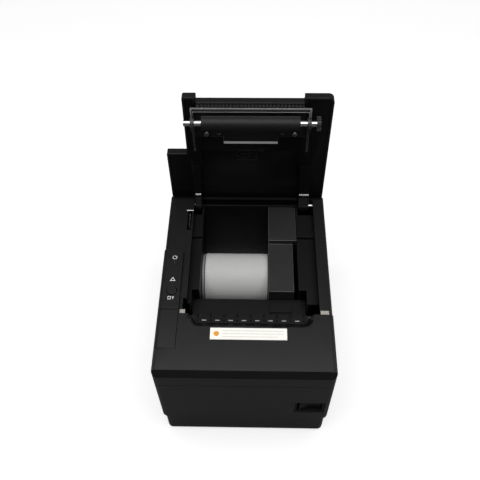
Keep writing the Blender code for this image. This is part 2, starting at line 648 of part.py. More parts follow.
def paper_bin():
    left, right = BIN_LEFT, BIN_RIGHT
    rim_top = SHELF_TOP + STEP_HEIGHT
    step = rear_step_d()
    arm_front = HINGE_D - 0.0115
    body = prism(bin_profile(BIN_WALL, rim_top), "x", left - BIN_WALL, right + BIN_WALL)
    cut(body, box((-HALF, HALF), (y_at(0.0), y_at(step)), (SHELF_TOP, 0.2)))
    wall_x = (RAIL_LEFT_X - 0.0020, RAIL_RIGHT_X + 0.0020)
    shelf_z = (SHELF_TOP - 0.0020, SHELF_TOP)
    well_front = PLATEN_D + PLATEN_RADIUS + 0.0010
    join(body, box(wall_x, (y_at(well_front), y_at(arm_front)), shelf_z))
    join(body, box((wall_x[0] + 0.0001, wall_x[1] - 0.0001), (y_at(step), y_at(arm_front)),
                   (SHELF_TOP - 0.001, rim_top)))
    rim_z = (SHELF_TOP - 0.001, RAIL_TOP - CASE_WALL - GAP)
    join(body, box((wall_x[0], RAIL_LEFT_X - 0.0003), (y_at(well_front), y_at(arm_front)), rim_z))
    join(body, box((RAIL_RIGHT_X + 0.0003, wall_x[1]), (y_at(well_front), y_at(arm_front)), rim_z))
    # front deck under the platen, and the walls beside it
    mid = PAPER_X - 0.0004
    well = (mid - WELL_HALF, mid + WELL_HALF)
    join(body, box((well[0] - 0.0015, well[1] + 0.0015), (y_at(well_front), y_at(BIN_FRONT_D - 0.0001)),
                   (DECK_TOP - BIN_WALL, SHELF_TOP - 0.0005)))
    join(body, box(well, (y_at(HEAD_D + 0.0013), y_at(BIN_FRONT_D)), (DECK_TOP - BIN_WALL, DECK_TOP)))
    # the inside: bin, platen well, and the roll's way over the front wall
    cut(body, prism(bin_profile(0.0, 0.2), "x", left, right))
    cut(body, box(well, (y_at(0.0), y_at(BIN_FRONT_D + 0.0001)), (DECK_TOP, 0.2)))
    cut(body, box((left, right), (y_at(BIN_FRONT_D - 0.01), y_at(BIN_FRONT_D + 0.01)), (DECK_TOP, 0.2)))
    sensor_x = ROLL_LEFT + ROLL_WIDTH + RUNNING + 0.0010
    join(body, box((sensor_x, sensor_x + 0.0195), (y_at(BIN_FRONT_D - 0.0140), y_at(BIN_FRONT_D - 0.0050)),
                   (DECK_TOP - 0.0005, DECK_TOP + 0.0020)))
    # lugs for the latch shaft, and feet on the lower case's brackets
    for x in (well[0] + 0.004, well[1] - 0.007):
        lug = box((x, x + 0.003), (y_at(LATCH_D - 0.0025), y_at(LATCH_D + 0.0042)),
                  (LATCH_Z - 0.0042, DECK_TOP - 0.001))
        join(body, lug)
    cut(body, rod("x", (y_at(LATCH_D), LATCH_Z), SHAFT_RADIUS - 0.0005 + GAP, well[0], well[1], 24))
    for offset in BRACKET_D:
        span = (y_at(PANEL_DEPTH + offset + 0.001), y_at(PANEL_DEPTH + offset + BRACKET_LENGTH - 0.001))
        foot_z = (SEAM_Z - GAP / 2 + GAP, SHELF_TOP - 0.001)
        join(body, box((wall_x[0], RAIL_LEFT_X + 0.0012), span, foot_z))
        join(body, box((RAIL_RIGHT_X - 0.0012, wall_x[1]), span, foot_z))
    return finish(body, "paper_bin", inner_plastic())


DISC_THICK = 0.0021
ROLL_LEFT = BIN_LEFT + GAP + DISC_THICK + RUNNING


def roll_parts():
    axis = (y_at(ROLL_D), ROLL_Z)
    disc = rod("x", axis, ROLL_RADIUS - 0.0006, BIN_LEFT + GAP, BIN_LEFT + GAP + DISC_THICK, 48)
    finish(disc, "roll_guide_disc", material("guide_disc", (0.42, 0.42, 0.42), 0.5))
    right = ROLL_LEFT + ROLL_WIDTH
    place = (0.0, axis[0], axis[1])
    paper = rod("x", axis, ROLL_RADIUS, ROLL_LEFT, right, 72)
    cut(paper, rod("x", axis, CORE_RADIUS + GAP, ROLL_LEFT - 0.01, right + 0.01, 32))
    finish(paper, "paper_roll", thermal_paper(), place)
    core = rod("x", axis, CORE_RADIUS, ROLL_LEFT + 0.0002, right - 0.0002, 32)
    cut(core, rod("x", axis, CORE_RADIUS - CORE_WALL, ROLL_LEFT - 0.01, right + 0.01, 32))
    finish(core, "paper_core", material("core_card", (0.45, 0.36, 0.26), 0.8), place)


def width_partition():
    """Hollow insert that narrows the bin for 58 mm paper, open below."""
    wall = 0.0016
    left, right = ROLL_LEFT + ROLL_WIDTH + RUNNING, BIN_RIGHT - GAP
    side = left + PARTITION_WIDTH
    step_y, front_y, rear_y = y_at(rear_step_d() - 0.003), y_at(0.0), y_at(0.3)
    high = SHELF_TOP + STEP_HEIGHT - 0.0015
    body = prism(bin_profile(-GAP, 0.2), "x", left, right)
    below = [(front_y, 0.0), (rear_y, 0.0), (rear_y, high), (step_y, high), (step_y, PARTITION_TOP),
             (front_y, PARTITION_TOP)]
    common(body, prism(below, "x", left - 0.01, right + 0.01))
    cut(body, box((side, right + 0.01), (front_y, step_y), (0.0, 0.2)))
    inside = (left + wall, side - wall)
    hollow = prism(bin_profile(-GAP - wall, 0.2), "x", *inside)
    common(hollow, box((left, right), (front_y, rear_y), (0.0, PARTITION_TOP - wall)))
    cut(body, hollow)
    cut(body, box(inside, (y_at(ROLL_D - 0.014), y_at(ROLL_D + 0.024)), (0.0, BIN_FLOOR + 0.012)))
    return finish(body, "width_partition", inner_plastic())


# ---------------------------------------------------------------- mechanism
PLATE_TOP = BLADE_Z - GAP
HEAD_PIVOT = (HEAD_D - 0.0037, PLATEN_Z - 0.0192)
SINK_THICK = 0.0048


def mechanism_frame():
    """Steel frame that carries head, cutter and motors, standing on four posts."""
    low, high = y_at(0.020), y_at(HEAD_D - 0.0010)
    frame = box((MECH_LEFT, MECH_RIGHT), (low, high), (MECH_FLOOR, MECH_FLOOR + SHEET))
    top = PLATE_TOP - SHEET - GAP
    join(frame, box((MECH_LEFT, MECH_LEFT + SHEET), (low, high), (MECH_FLOOR, top)))
    join(frame, box((MECH_RIGHT - SHEET, MECH_RIGHT), (low, high), (MECH_FLOOR, top)))
    middle = idler_centre()
    axle = rod("x", (y_at(middle[0]), middle[1]), 0.0015, MECH_RIGHT - 0.0005, GEAR_X + GEAR_WIDTH + GAP, 20)
    join(frame, axle)
    cut(frame, rod("x", (y_at(HEAD_PIVOT[0]), HEAD_PIVOT[1]), 0.0015 + GAP, MECH_LEFT - 0.01,
                   MECH_RIGHT + 0.01, 20))
    cut(frame, rod("x", (y_at(MOTOR_D), MOTOR_Z), 0.0030, MECH_RIGHT - 0.005, MECH_RIGHT + 0.01, 24))
    return finish(frame, "mechanism_frame", dark_steel())


def print_head_parts():
    axis = (y_at(HEAD_PIVOT[0]), HEAD_PIVOT[1])
    rod_piece = rod("x", axis, 0.0015, MECH_LEFT - 0.0008, MECH_RIGHT + 0.0006, 20)
    finish(rod_piece, "head_pivot_rod", bright_steel())
    place = (0.0, axis[0], axis[1])
    low, high = PAPER_X - 0.0405, PAPER_X + 0.0405
    sink_front = HEAD_D - 0.0013 - SINK_THICK
    sink = box((low, high), (y_at(sink_front), y_at(sink_front + SINK_THICK)),
               (axis[1] - 0.0035, PLATEN_Z + 0.0065))
    cut(sink, rod("x", axis, 0.0015 + GAP, low - 0.01, high + 0.01, 20))
    finish(sink, "head_heatsink", material("heatsink", (0.55, 0.55, 0.56), 0.4, 1.0), place)
    strip = box((low, high), (y_at(HEAD_D - 0.0010), y_at(HEAD_D)), (PLATEN_Z - 0.0110, PLATEN_Z + 0.0055))
    finish(strip, "print_head", material("head_ceramic", (0.30, 0.24, 0.16), 0.15), place)
    spring_d = sink_front - 0.0012
    leaf = box((PAPER_X - 0.0180, PAPER_X + 0.0180), (y_at(spring_d - 0.0006), y_at(spring_d)),
               (MECH_FLOOR + SHEET + GAP, PLATEN_Z - 0.0060))
    join(leaf, box((PAPER_X - 0.0180, PAPER_X + 0.0180), (y_at(spring_d - 0.0100), y_at(spring_d)),
                   (MECH_FLOOR + SHEET + GAP, MECH_FLOOR + SHEET + GAP + 0.0008)))
    nib = box((PAPER_X - 0.0050, PAPER_X + 0.0050), (y_at(spring_d - 0.0003), y_at(spring_d + 0.0003)),
              (PLATEN_Z - 0.0180, PLATEN_Z - 0.0160))
    join(leaf, nib)
    finish(leaf, "head_spring", bright_steel())


def drive_gears():
    centre = idler_centre()
    mesh_angle = math.atan2(MOTOR_Z - centre[1], MOTOR_D - centre[0])
    platen_angle = math.atan2(PLATEN_Z - centre[1], PLATEN_D - centre[0])
    span = (GEAR_X, GEAR_X + GEAR_WIDTH)
    # the idler points a tooth at the pinion, and the pinion a gap at the idler
    place = (y_at(centre[0]), centre[1])
    idler = prism(gear_outline(place, IDLER_TEETH, GEAR_MODULE, mesh_angle), "x", *span)
    cut(idler, rod("x", place, 0.0015 + GAP, GEAR_X - 0.01, GEAR_X + 0.01, 20))
    finish(idler, "idler_gear", gear_plastic(), (0.0, place[0], place[1]))
    half_pitch = math.pi / PINION_TEETH
    motor = (y_at(MOTOR_D), MOTOR_Z)
    phase = mesh_angle + math.pi + half_pitch
    pinion = prism(gear_outline(motor, PINION_TEETH, GEAR_MODULE, phase), "x", *span)
    cut(pinion, rod("x", motor, 0.0010 + GAP, GEAR_X - 0.01, GEAR_X + 0.01, 16))
    finish(pinion, "motor_pinion", bright_steel(), (0.0, motor[0], motor[1]))
    # phase of the platen gear, in the closed position: a gap where the idler has a tooth
    pitch = math.tau / IDLER_TEETH
    lead = (platen_angle - mesh_angle) % pitch / pitch
    return platen_angle + math.pi + (0.5 + lead) * math.tau / PLATEN_TEETH


def feed_motor():
    motor = (y_at(MOTOR_D), MOTOR_Z)
    right = MECH_RIGHT - SHEET - GAP
    can = rod("x", motor, MOTOR_RADIUS, right - 0.0240, right, 40)
    join(can, rod("x", motor, 0.0010, right - 0.001, GEAR_X + GEAR_WIDTH - GAP, 16))
    ears = box((right - 0.0010, right), (motor[0] - 0.0170, motor[0] + 0.0150),
               (MOTOR_Z - 0.004, MOTOR_Z + 0.004))
    join(can, ears)
    return finish(can, "feed_motor", dark_steel())


CUT_X = PAPER_X - 0.0060
CUT_D = 0.0300
BLADE_TIP = 0.0038                   # behind the panel's rear edge, blade drawn back


def cutter_parts():
    """Sliding knife under the front panel, driven by a pinion on an upright motor."""
    left, right = MECH_LEFT + 0.0002, MECH_RIGHT - 0.0002
    z0, z1 = PLATE_TOP - SHEET, PLATE_TOP
    plate = box((left, right), (y_at(0.014), y_at(PANEL_DEPTH + 0.0033)), (z0, z1))
    for x in (left, right - SHEET):
        wing = box((x, x + SHEET), (y_at(0.014), y_at(0.0195)), (z0 - 0.010, z1 - 0.0005))
        join(plate, wing)
    centre = (CUT_X, y_at(CUT_D))
    cut(plate, rod("z", centre, 0.0022, z0 - 0.01, z1 + 0.01, 20))
    finish(plate, "cutter_frame", dark_steel())

    tip = PANEL_DEPTH + BLADE_TIP
    rear, rack_rear = tip - 0.0160, CUT_D - 0.0060
    pitch_x = CUT_X + gear_pitch(CUT_GEAR_TEETH, CUT_GEAR_MODULE)
    low, high = PAPER_X - 0.0415, PAPER_X + 0.0415
    edge = [(low, y_at(rear)), (high, y_at(rear)), (high, y_at(tip)), (PAPER_X, y_at(tip - 0.0022)),
            (low, y_at(tip))]
    blade = prism(edge, "z", BLADE_Z, BLADE_Z + BLADE_THICK)
    arm = box((pitch_x + 1.05 * CUT_GEAR_MODULE, pitch_x + 0.0060), (y_at(rack_rear), y_at(rear + 0.001)),
              (BLADE_Z, BLADE_Z + BLADE_THICK))
    join(blade, arm)
    tooth_pitch = math.pi * CUT_GEAR_MODULE
    first = math.ceil((rack_rear - CUT_D) / tooth_pitch)
    last = math.floor((rear - 0.0005 - CUT_D) / tooth_pitch)
    for index in range(first, last):
        y = y_at(CUT_D) + (index + 0.5) * tooth_pitch
        base, point = pitch_x + 1.15 * CUT_GEAR_MODULE, pitch_x - 0.70 * CUT_GEAR_MODULE
        tooth = [(base, y - 0.29 * tooth_pitch), (base, y + 0.29 * tooth_pitch),
                 (point, y + 0.10 * tooth_pitch), (point, y - 0.10 * tooth_pitch)]
        join(blade, prism(tooth, "z", BLADE_Z, BLADE_Z + BLADE_THICK))
    finish(blade, "cutter_blade", bright_steel(), (PAPER_X, y_at(tip), BLADE_Z))

    gear = prism(gear_outline(centre, CUT_GEAR_TEETH, CUT_GEAR_MODULE, 0.0), "z", BLADE_Z, BLADE_Z + 0.0016)
    cut(gear, rod("z", centre, 0.0010 + GAP, BLADE_Z - 0.01, BLADE_Z + 0.01, 16))
    finish(gear, "cutter_gear", gear_plastic(), (centre[0], centre[1], BLADE_Z))
    can = rod("z", centre, 0.0090, z0 - GAP - 0.0250, z0 - GAP, 32)
    join(can, rod("z", centre, 0.0010, z0 - 0.001, BLADE_Z + 0.0014, 16))
    finish(can, "cutter_motor", dark_steel())


def exit_comb():
    """Ribbed guide across the paper's way out."""
    base_z = (BLADE_Z + BLADE_THICK + 0.0004, CASE_TOP - POCKET_BEVEL - 0.0004)
    low_y, high_y = y_at(PANEL_DEPTH - POCKET_REACH - 0.0009), y_at(PANEL_DEPTH + 0.0028)
    half = POCKET_HALF - 0.0006
    comb = box((POCKET_X - half, POCKET_X + half), (low_y + 0.0012, high_y), base_z)
    pitch, count = 0.0110, 9
    for index in range(count):
        x = POCKET_X + (index - (count - 1) / 2) * pitch
        foot, crest = base_z[1] - 0.0002, base_z[1] + 0.0014
        rib = [(low_y + 0.0020, foot), (high_y, foot), (high_y, base_z[1] + 0.0008),
               (high_y - 0.0030, crest), (low_y + 0.0035, crest)]
        join(comb, prism(rib, "x", x - 0.0006, x + 0.0006))
    return finish(comb, "exit_comb", inner_plastic())


# ---------------------------------------------------------------- latch
LEVER_X = (PANEL_X - 0.0100, PANEL_X - 0.0055)
HOOK_LEFT = (MECH_LEFT - GAP - 0.0026, MECH_LEFT - GAP)
HOOK_RIGHT = (MECH_RIGHT + GAP, MECH_RIGHT + GAP + 0.0026)


def latch_parts():
    """Shaft with two hooks that hold the platen's shaft, and a lever under the release button.

    Modelled engaged and shown let go, as the parts stand while the cover is open.
    """
    axis = pivot("latch_axis", (0.0, y_at(LATCH_D), LATCH_Z), LATCH_ANGLE)
    shaft_r = SHAFT_RADIUS - 0.0005
    shaft = rod("x", (0.0, 0.0), shaft_r, LEVER_X[0] - 0.001, GEAR_X - 0.0004, 24)
    finish(shaft, "latch_shaft", bright_steel(), parent=axis)
    stub = (PLATEN_D - LATCH_D, PLATEN_Z - LATCH_Z)
    top = stub[1] + SHAFT_RADIUS + GAP
    front, rear = stub[0] - SHAFT_RADIUS - 0.0040, stub[0] + SHAFT_RADIUS + 0.0003
    neck = front + 0.0034
    outline = [(-0.0043, -0.0020), (0.0043, -0.0020), (neck, 0.0085), (neck, top), (rear - 0.0008, top),
               (rear, top + 0.0012), (rear - 0.0030, top + 0.0034), (front, top + 0.0034)]
    for name, span in (("latch_hook_left", HOOK_LEFT), ("latch_hook_right", HOOK_RIGHT)):
        hook = prism(outline, "x", *span)
        join(hook, rod("x", (0.0, 0.0), 0.0045, *span, 28))
        cut(hook, rod("x", (0.0, 0.0), shaft_r + GAP, span[0] - 0.01, span[1] + 0.01, 24))
        finish(hook, name, bright_steel(), parent=axis)
    # the lever lies level once it is turned by the latch's own angle
    turn = Matrix.Rotation(-LATCH_ANGLE, 3, "X")
    lever = [(-0.0125, 0.0004), (0.0, -0.0042), (0.0040, 0.0), (0.0, 0.0042), (-0.0085, 0.0024),
             (-0.0125, 0.0024)]
    lever = [turn @ Vector((0.0, y, z)) for y, z in lever]
    arm = prism([(p.y, p.z) for p in lever], "x", *LEVER_X)
    cut(arm, rod("x", (0.0, 0.0), shaft_r + GAP, LEVER_X[0] - 0.01, LEVER_X[1] + 0.01, 24))
    finish(arm, "release_lever", dark_steel(), parent=axis)


# ---------------------------------------------------------------- hinge
def hinge_pins():
    for name, arm, sign in (("hinge_pin_left", ARM_WIDTH_LEFT, -1), ("hinge_pin_right", ARM_WIDTH_RIGHT, 1)):
        outer = arm[0] - RUNNING - LUG + 0.0015 if sign < 0 else arm[1] + RUNNING + LUG - 0.0015
        inner = arm[1] if sign < 0 else arm[0]
        pin = rod("x", (y_at(HINGE_D), HINGE_Z), PIN_RADIUS, min(outer, inner), max(outer, inner), 24)
        finish(pin, name, bright_steel())


def lid_spring():
    """Bent wire of the cover's balance spring, in its slot in the left rail."""
    x = sum(SPRING_SLOT_X) / 2
    r = 0.0007
    low, high = SPRING_SLOT_D[0] + 0.0045, SPRING_SLOT_D[1] - 0.0015
    z = RAIL_TOP - 0.0022
    points = [(low + 0.0030, z - 0.0060), (low, z - 0.0035), (low + 0.0010, z), (high - 0.002, z + 0.0006),
              (high, z - 0.0020), (high, z - 0.0090)]
    curve = bpy.data.curves.new("wire", "CURVE")
    curve.dimensions = "3D"
    curve.bevel_depth = r
    curve.bevel_resolution = 2
    curve.use_fill_caps = True
    spline = curve.splines.new("POLY")
    spline.points.add(len(points) - 1)
    for point, (d, height) in zip(spline.points, points):
        point.co = (x, y_at(d), height, 1.0)
    wire = bpy.data.objects.new("wire", curve)
    bpy.context.scene.collection.objects.link(wire)
    graph = bpy.context.evaluated_depsgraph_get()
    mesh = bpy.data.meshes.new_from_object(wire.evaluated_get(graph))
    bpy.data.objects.remove(wire)
    solid = bpy.data.objects.new("lid_spring", mesh)
    bpy.context.scene.collection.objects.link(solid)
    return finish(solid, "lid_spring", bright_steel())


# ---------------------------------------------------------------- board and connectors
def main_board():
    board = box((-0.060, 0.060), (y_at(0.062), y_at(CASE_DEPTH - 0.0075)), (BOARD_Z, BOARD_Z + BOARD_THICK))
    top = BOARD_Z + BOARD_THICK - 0.0005
    for x, d, w, l, h in ((-0.030, 0.090, 0.018, 0.018, 0.003), (0.010, 0.085, 0.012, 0.012, 0.003),
                          (0.036, 0.100, 0.020, 0.010, 0.008), (-0.010, 0.120, 0.010, 0.020, 0.004)):
        join(board, box((x - w / 2, x + w / 2), (y_at(d), y_at(d + l)), (top, top + h)))
    for x in (-0.046, -0.034):
        join(board, rod("z", (x, y_at(0.140)), 0.005, top, top + 0.014, 24))
    return finish(board, "main_board", material("circuit_board", (0.02, 0.12, 0.06), 0.5))


PORTS = {   # name: centre x, width, height
    "power_inlet": (-0.036, 0.0150, 0.0135),
    "usb_port": (-0.013, 0.0120, 0.0110),
    "network_port": (0.010, 0.0160, 0.0135),
    "drawer_port": (0.034, 0.0130, 0.0125),
}
PORT_LENGTH = 0.0150
PORT_BACK = 0.0110                   # depth of each socket
CONTACT_BACK = 0.0050                # the contact's tip behind the socket's mouth
PORT_WALL = 0.0012


def ports():
    rear = CASE_DEPTH - BASE_INSET
    bottom = BOARD_Z + BOARD_THICK + GAP
    plate_d = (rear - 0.0018, rear - 0.0008)
    plate = box((-PORT_HALF + GAP, PORT_HALF - GAP), (y_at(plate_d[0]), y_at(plate_d[1])),
                (0.0070 + GAP, BASE_TOP - GAP))
    for x, width, height in PORTS.values():
        cut(plate, box((x - width / 2 - GAP, x + width / 2 + GAP), (y_at(rear - 0.02), y_at(rear + 0.02)),
                       (bottom - GAP, bottom + height + GAP)))
    finish(plate, "connector_plate", dark_steel())
    for name, (x, width, height) in PORTS.items():
        span = (y_at(rear - PORT_LENGTH), y_at(rear + 0.0002))
        body = box((x - width / 2, x + width / 2), span, (bottom, bottom + height))
        middle = bottom + height / 2
        back = y_at(rear - PORT_BACK)
        tip = y_at(rear - CONTACT_BACK)
        if name == "power_inlet":
            cut(body, rod("y", (x, middle), 0.0056, back, y_at(rear + 0.01), 32))
            join(body, rod("y", (x, middle), 0.0024, back - 0.001, tip, 20))
        else:
            half = width / 2 - PORT_WALL
            cut(body, box((x - half, x + half), (back, y_at(rear + 0.01)),
                          (bottom + PORT_WALL, bottom + height - PORT_WALL)))
            if name == "usb_port":
                join(body, box((x - 0.0025, x + 0.0025), (back - 0.001, tip),
                               (middle - 0.0014, middle + 0.0014)))
        look = bright_steel() if name in ("usb_port", "network_port") else inner_plastic()
        finish(body, name, look)


LABEL_X = (-0.0278, 0.0340)
LABEL_D = (0.0302, 0.0405)


def label():
    sheet = box(LABEL_X, (y_at(LABEL_D[0]), y_at(LABEL_D[1])), (CASE_TOP + 0.00004, CASE_TOP + 0.00020))
    return finish(sheet, "blank_label", material("label_film", (0.85, 0.85, 0.83), 0.35))


# ---------------------------------------------------------------- cover, in hinge coordinates
def cover_outline(inset):
    """Plan outline (x, y) round the hinge axis; the front is at -y."""
    right = HALF - COVER_SIDE_INSET - inset
    ear_y = -(HINGE_D - CONTROL_D - CONTROL_DEPTH - 0.0004) + inset
    tip = -COVER_REACH + inset
    notch = -COVER_REACH + NOTCH_DEPTH + inset
    tail = COVER_TAIL - inset
    left = PANEL_X + 0.0016 + inset
    mid = PAPER_X - 0.0006
    points = [(right, tail), (-right, tail), (-right, ear_y), (left, ear_y), (left, tip),
              (mid - NOTCH_HALF - inset, tip), (mid - NOTCH_HALF - inset, notch),
              (mid + NOTCH_HALF + inset, notch), (mid + NOTCH_HALF + inset, tip), (right, tip)]
    small = 0.0015
    corner = COVER_CORNER - inset
    return fillet(points, (corner, corner, small, 0, small, 0, 0, 0, 0, corner))


def cover_shell(hinge):
    shell = prism(cover_outline(0.0), "z", RIM_H, ROOF_H)
    bm = bmesh.new()
    bm.from_mesh(shell.data)
    roof = [edge for edge in bm.edges if all(v.co.z > ROOF_H - 1e-6 for v in edge.verts)]
    bmesh.ops.bevel(bm, geom=roof, offset=ROOF_BEVEL, segments=2, affect="EDGES", profile=0.5)
    bm.to_mesh(shell.data)
    bm.free()
    cut(shell, prism(cover_outline(COVER_WALL), "z", RIM_H - 0.01, ROOF_H - COVER_WALL))
    return finish(shell, "cover_shell", case_plastic(), parent=hinge)


BRACKET_H = 0.0003
BLADE_H = 0.0036
WEB_REAR = HINGE_D - PLATEN_D - 0.0239
WEB_FRONT = HINGE_D - PLATEN_D + 0.0046


def arm_outline():
    points = [(-0.0450, 0.0072), (-0.0100, 0.0010), (-0.0042, -0.0042)]
    points += arc((0.0, 0.0), KNUCKLE, 230, 360, 10)
    points += [(KNUCKLE, RIM_H + 0.0015), (-0.0450, RIM_H + 0.0015)]
    return points


def cover_liner(hinge):
    top = ROOF_H - COVER_WALL - GAP
    face = RIM_H + LINER_FACE
    liner = prism(cover_outline(COVER_WALL + GAP), "z", face, top)
    # hollow above the paper roll
    well_left, well_right = BIN_LEFT - 0.0004, BIN_RIGHT + 0.0004
    well = rod("x", (-(HINGE_D - ROLL_D - 0.018), face - 0.0700 + 0.0038), 0.0700, well_left, well_right, 96)
    cut(liner, well)
    # front block behind the blade, open towards the bracket's web
    mid = PAPER_X
    low, high = mid - 0.0470, mid + 0.0470
    rear_wall = box((low, high), (-WEB_REAR - 0.0025, -WEB_REAR), (BRACKET_H + SHEET + GAP, face + 0.001))
    join(liner, rear_wall)
    for x in (low, high - 0.0020):
        join(liner, box((x, x + 0.0020), (-WEB_FRONT + 0.0140, -WEB_REAR),
                        (BRACKET_H + SHEET + GAP, face + 0.001)))
    front = -COVER_REACH + NOTCH_DEPTH + 0.0003
    inner, under = front + COVER_WALL, BLADE_H + SHEET + GAP
    nose = [(front, RIM_H - GAP), (front, under + 0.0011), (front + 0.0010, under), (front + 0.0060, under),
            (front + 0.0060, face + 0.0008), (inner, face + 0.0008), (inner, RIM_H - GAP)]
    join(liner, prism(nose, "x", mid - 0.0006 - NOTCH_HALF + 0.0004, mid - 0.0006 + NOTCH_HALF - 0.0004))
    pads = box((mid - 0.0440, mid + 0.0440), (front + 0.0025, front + 0.0100),
               (BLADE_H + SHEET + GAP, face + 0.0008))
    join(liner, pads)
    for low_x, high_x in (ARM_WIDTH_LEFT, ARM_WIDTH_RIGHT):
        join(liner, prism(arm_outline(), "x", low_x, high_x))
    cut(liner, rod("x", (0.0, 0.0), PIN_RADIUS + GAP, -HALF, HALF, 24))
    return finish(liner, "cover_liner", inner_plastic(), parent=hinge)


def tear_bar(hinge):
    front = -COVER_REACH + NOTCH_DEPTH + 0.0018
    half = 0.0503
    bar = [(front, BLADE_H), (front + 0.0090, BLADE_H), (front + 0.0090, BLADE_H + SHEET),
           (front + 0.0008, BLADE_H + SHEET)]
    return finish(prism(bar, "x", PAPER_X - half, PAPER_X + half), "tear_bar", bright_steel(), parent=hinge)


SCREW_X = (-0.0372, 0.0372)
HOLE_X = (-0.0270, 0.0270)
SCREW_A = WEB_REAR + 0.0040
CHEEK_STEP_D = 0.0840        # the cheeks rise here to clear the bin's front shelf


def platen_bracket(hinge):
    """Folded steel bracket: a web, two cheeks round the platen and a front flange."""
    web_z = (BRACKET_H, BRACKET_H + SHEET)
    low, high = PAPER_X - CHEEK_OUT, PAPER_X + CHEEK_OUT
    bracket = box((low, high), (-WEB_FRONT, -WEB_REAR), web_z)
    join(bracket, box((PAPER_X - 0.0232, PAPER_X + 0.0232), (-WEB_REAR - 0.001, -WEB_REAR + 0.0080), web_z))
    join(bracket, box((low, high), (-WEB_FRONT, -WEB_FRONT + SHEET),
                      (BRACKET_H - 0.0018, BRACKET_H + 0.0017)))
    axis = (-(HINGE_D - PLATEN_D), -PLATEN_DROP)
    front = -WEB_FRONT
    cheek = [(front, web_z[1]), (front, axis[1])]
    cheek += arc(axis, 0.0046, 180, 330, 8)
    cheek += [(-(HINGE_D - CHEEK_STEP_D), -0.0036), (-WEB_REAR + 0.0140, -0.0030)]
    cheek += [(-WEB_REAR + 0.0140, web_z[1])]
    for x in (low, high - SHEET):
        join(bracket, prism(cheek, "x", x, x + SHEET))
    cut(bracket, rod("x", axis, 0.0036 + GAP, low - 0.01, high + 0.01, 28))
    for x in SCREW_X + HOLE_X:
        cut(bracket, rod("z", (PAPER_X + x, -SCREW_A), 0.0013, -0.01, 0.01, 20))
    return finish(bracket, "platen_bracket", bright_steel(), parent=hinge)


def bracket_screws(hinge):
    for name, x in zip(("bracket_screw_left", "bracket_screw_right"), SCREW_X):
        centre = (PAPER_X + x, -SCREW_A)
        screw = rod("z", centre, 0.0022, BRACKET_H - GAP - 0.0012, BRACKET_H - GAP, 20)
        join(screw, rod("z", centre, 0.0010, BRACKET_H - GAP - 0.0004, BRACKET_H + SHEET + 0.0020, 16))
        finish(screw, name, bright_steel(), parent=hinge)


def platen_parts(hinge, gear_phase):
    """Roller, shaft, bushes and gear, modelled round the platen's own axis."""
    axis = pivot("platen_axis", (0.0, -(HINGE_D - PLATEN_D), -PLATEN_DROP), parent=hinge)
    left, right = PAPER_X - 0.0547, GEAR_X + GEAR_WIDTH + 0.0002
    finish(rod("x", (0, 0), SHAFT_RADIUS, left, right, 28), "platen_shaft", bright_steel(), parent=axis)
    low, high = PAPER_X - PLATEN_HALF, PAPER_X + PLATEN_HALF
    roller = rod("x", (0, 0), PLATEN_RADIUS, low, high, 48)
    cut(roller, rod("x", (0, 0), SHAFT_RADIUS + GAP, low - 0.01, high + 0.01, 28))
    finish(roller, "platen_roller", rubber(), parent=axis)
    teeth = gear_outline((0, 0), PLATEN_TEETH, GEAR_MODULE, gear_phase)
    gear = prism(teeth, "x", GEAR_X, GEAR_X + GEAR_WIDTH)
    cut(gear, rod("x", (0, 0), SHAFT_RADIUS + GAP, GEAR_X - 0.01, GEAR_X + 0.01, 28))
    finish(gear, "platen_gear", gear_plastic(), parent=axis)
    for name, sign in (("platen_bush_left", -1), ("platen_bush_right", 1)):
        cheek_in = PAPER_X + sign * (CHEEK_OUT - SHEET - GAP)
        cheek_out = PAPER_X + sign * (CHEEK_OUT + 0.0006)
        bush = rod("x", (0, 0), 0.0036, min(cheek_in, cheek_out), max(cheek_in, cheek_out), 28)
        flange_in = cheek_in - sign * 0.0012
        join(bush, rod("x", (0, 0), 0.0046, min(cheek_in, flange_in), max(cheek_in, flange_in), 28))
        cut(bush, rod("x", (0, 0), SHAFT_RADIUS + GAP, low - 0.02, high + 0.02, 28))
        finish(bush, name, gear_plastic(), parent=axis)


def build_cover(gear_phase):
    hinge = pivot("cover_hinge", (0.0, y_at(HINGE_D), HINGE_Z), -OPEN_ANGLE)
    cover_shell(hinge)
    cover_liner(hinge)
    tear_bar(hinge)
    platen_bracket(hinge)
    bracket_screws(hinge)
    platen_parts(hinge, gear_phase)


def build():
    clear_scene()
    base_tray()
    feet()
    lower_case()
    upper_case()
    rail_pads()
    control_panel()
    lenses()
    feed_button()
    panel_board()
    release_button()
    power_switch()
    paper_bin()
    roll_parts()
    width_partition()
    mechanism_frame()
    print_head_parts()
    gear_phase = drive_gears()
    feed_motor()
    cutter_parts()
    exit_comb()
    latch_parts()
    hinge_pins()
    lid_spring()
    main_board()
    ports()
    label()
    build_cover(gear_phase)


build()
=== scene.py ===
"""Looks of the receipt printer: finishes, fine detail, light and camera round its CAD parts.

Lengths are in metres and angles in degrees. The cover stands open, as in the photograph.
"""
import json
import math

import bmesh
import bpy
from mathutils import Matrix, Vector


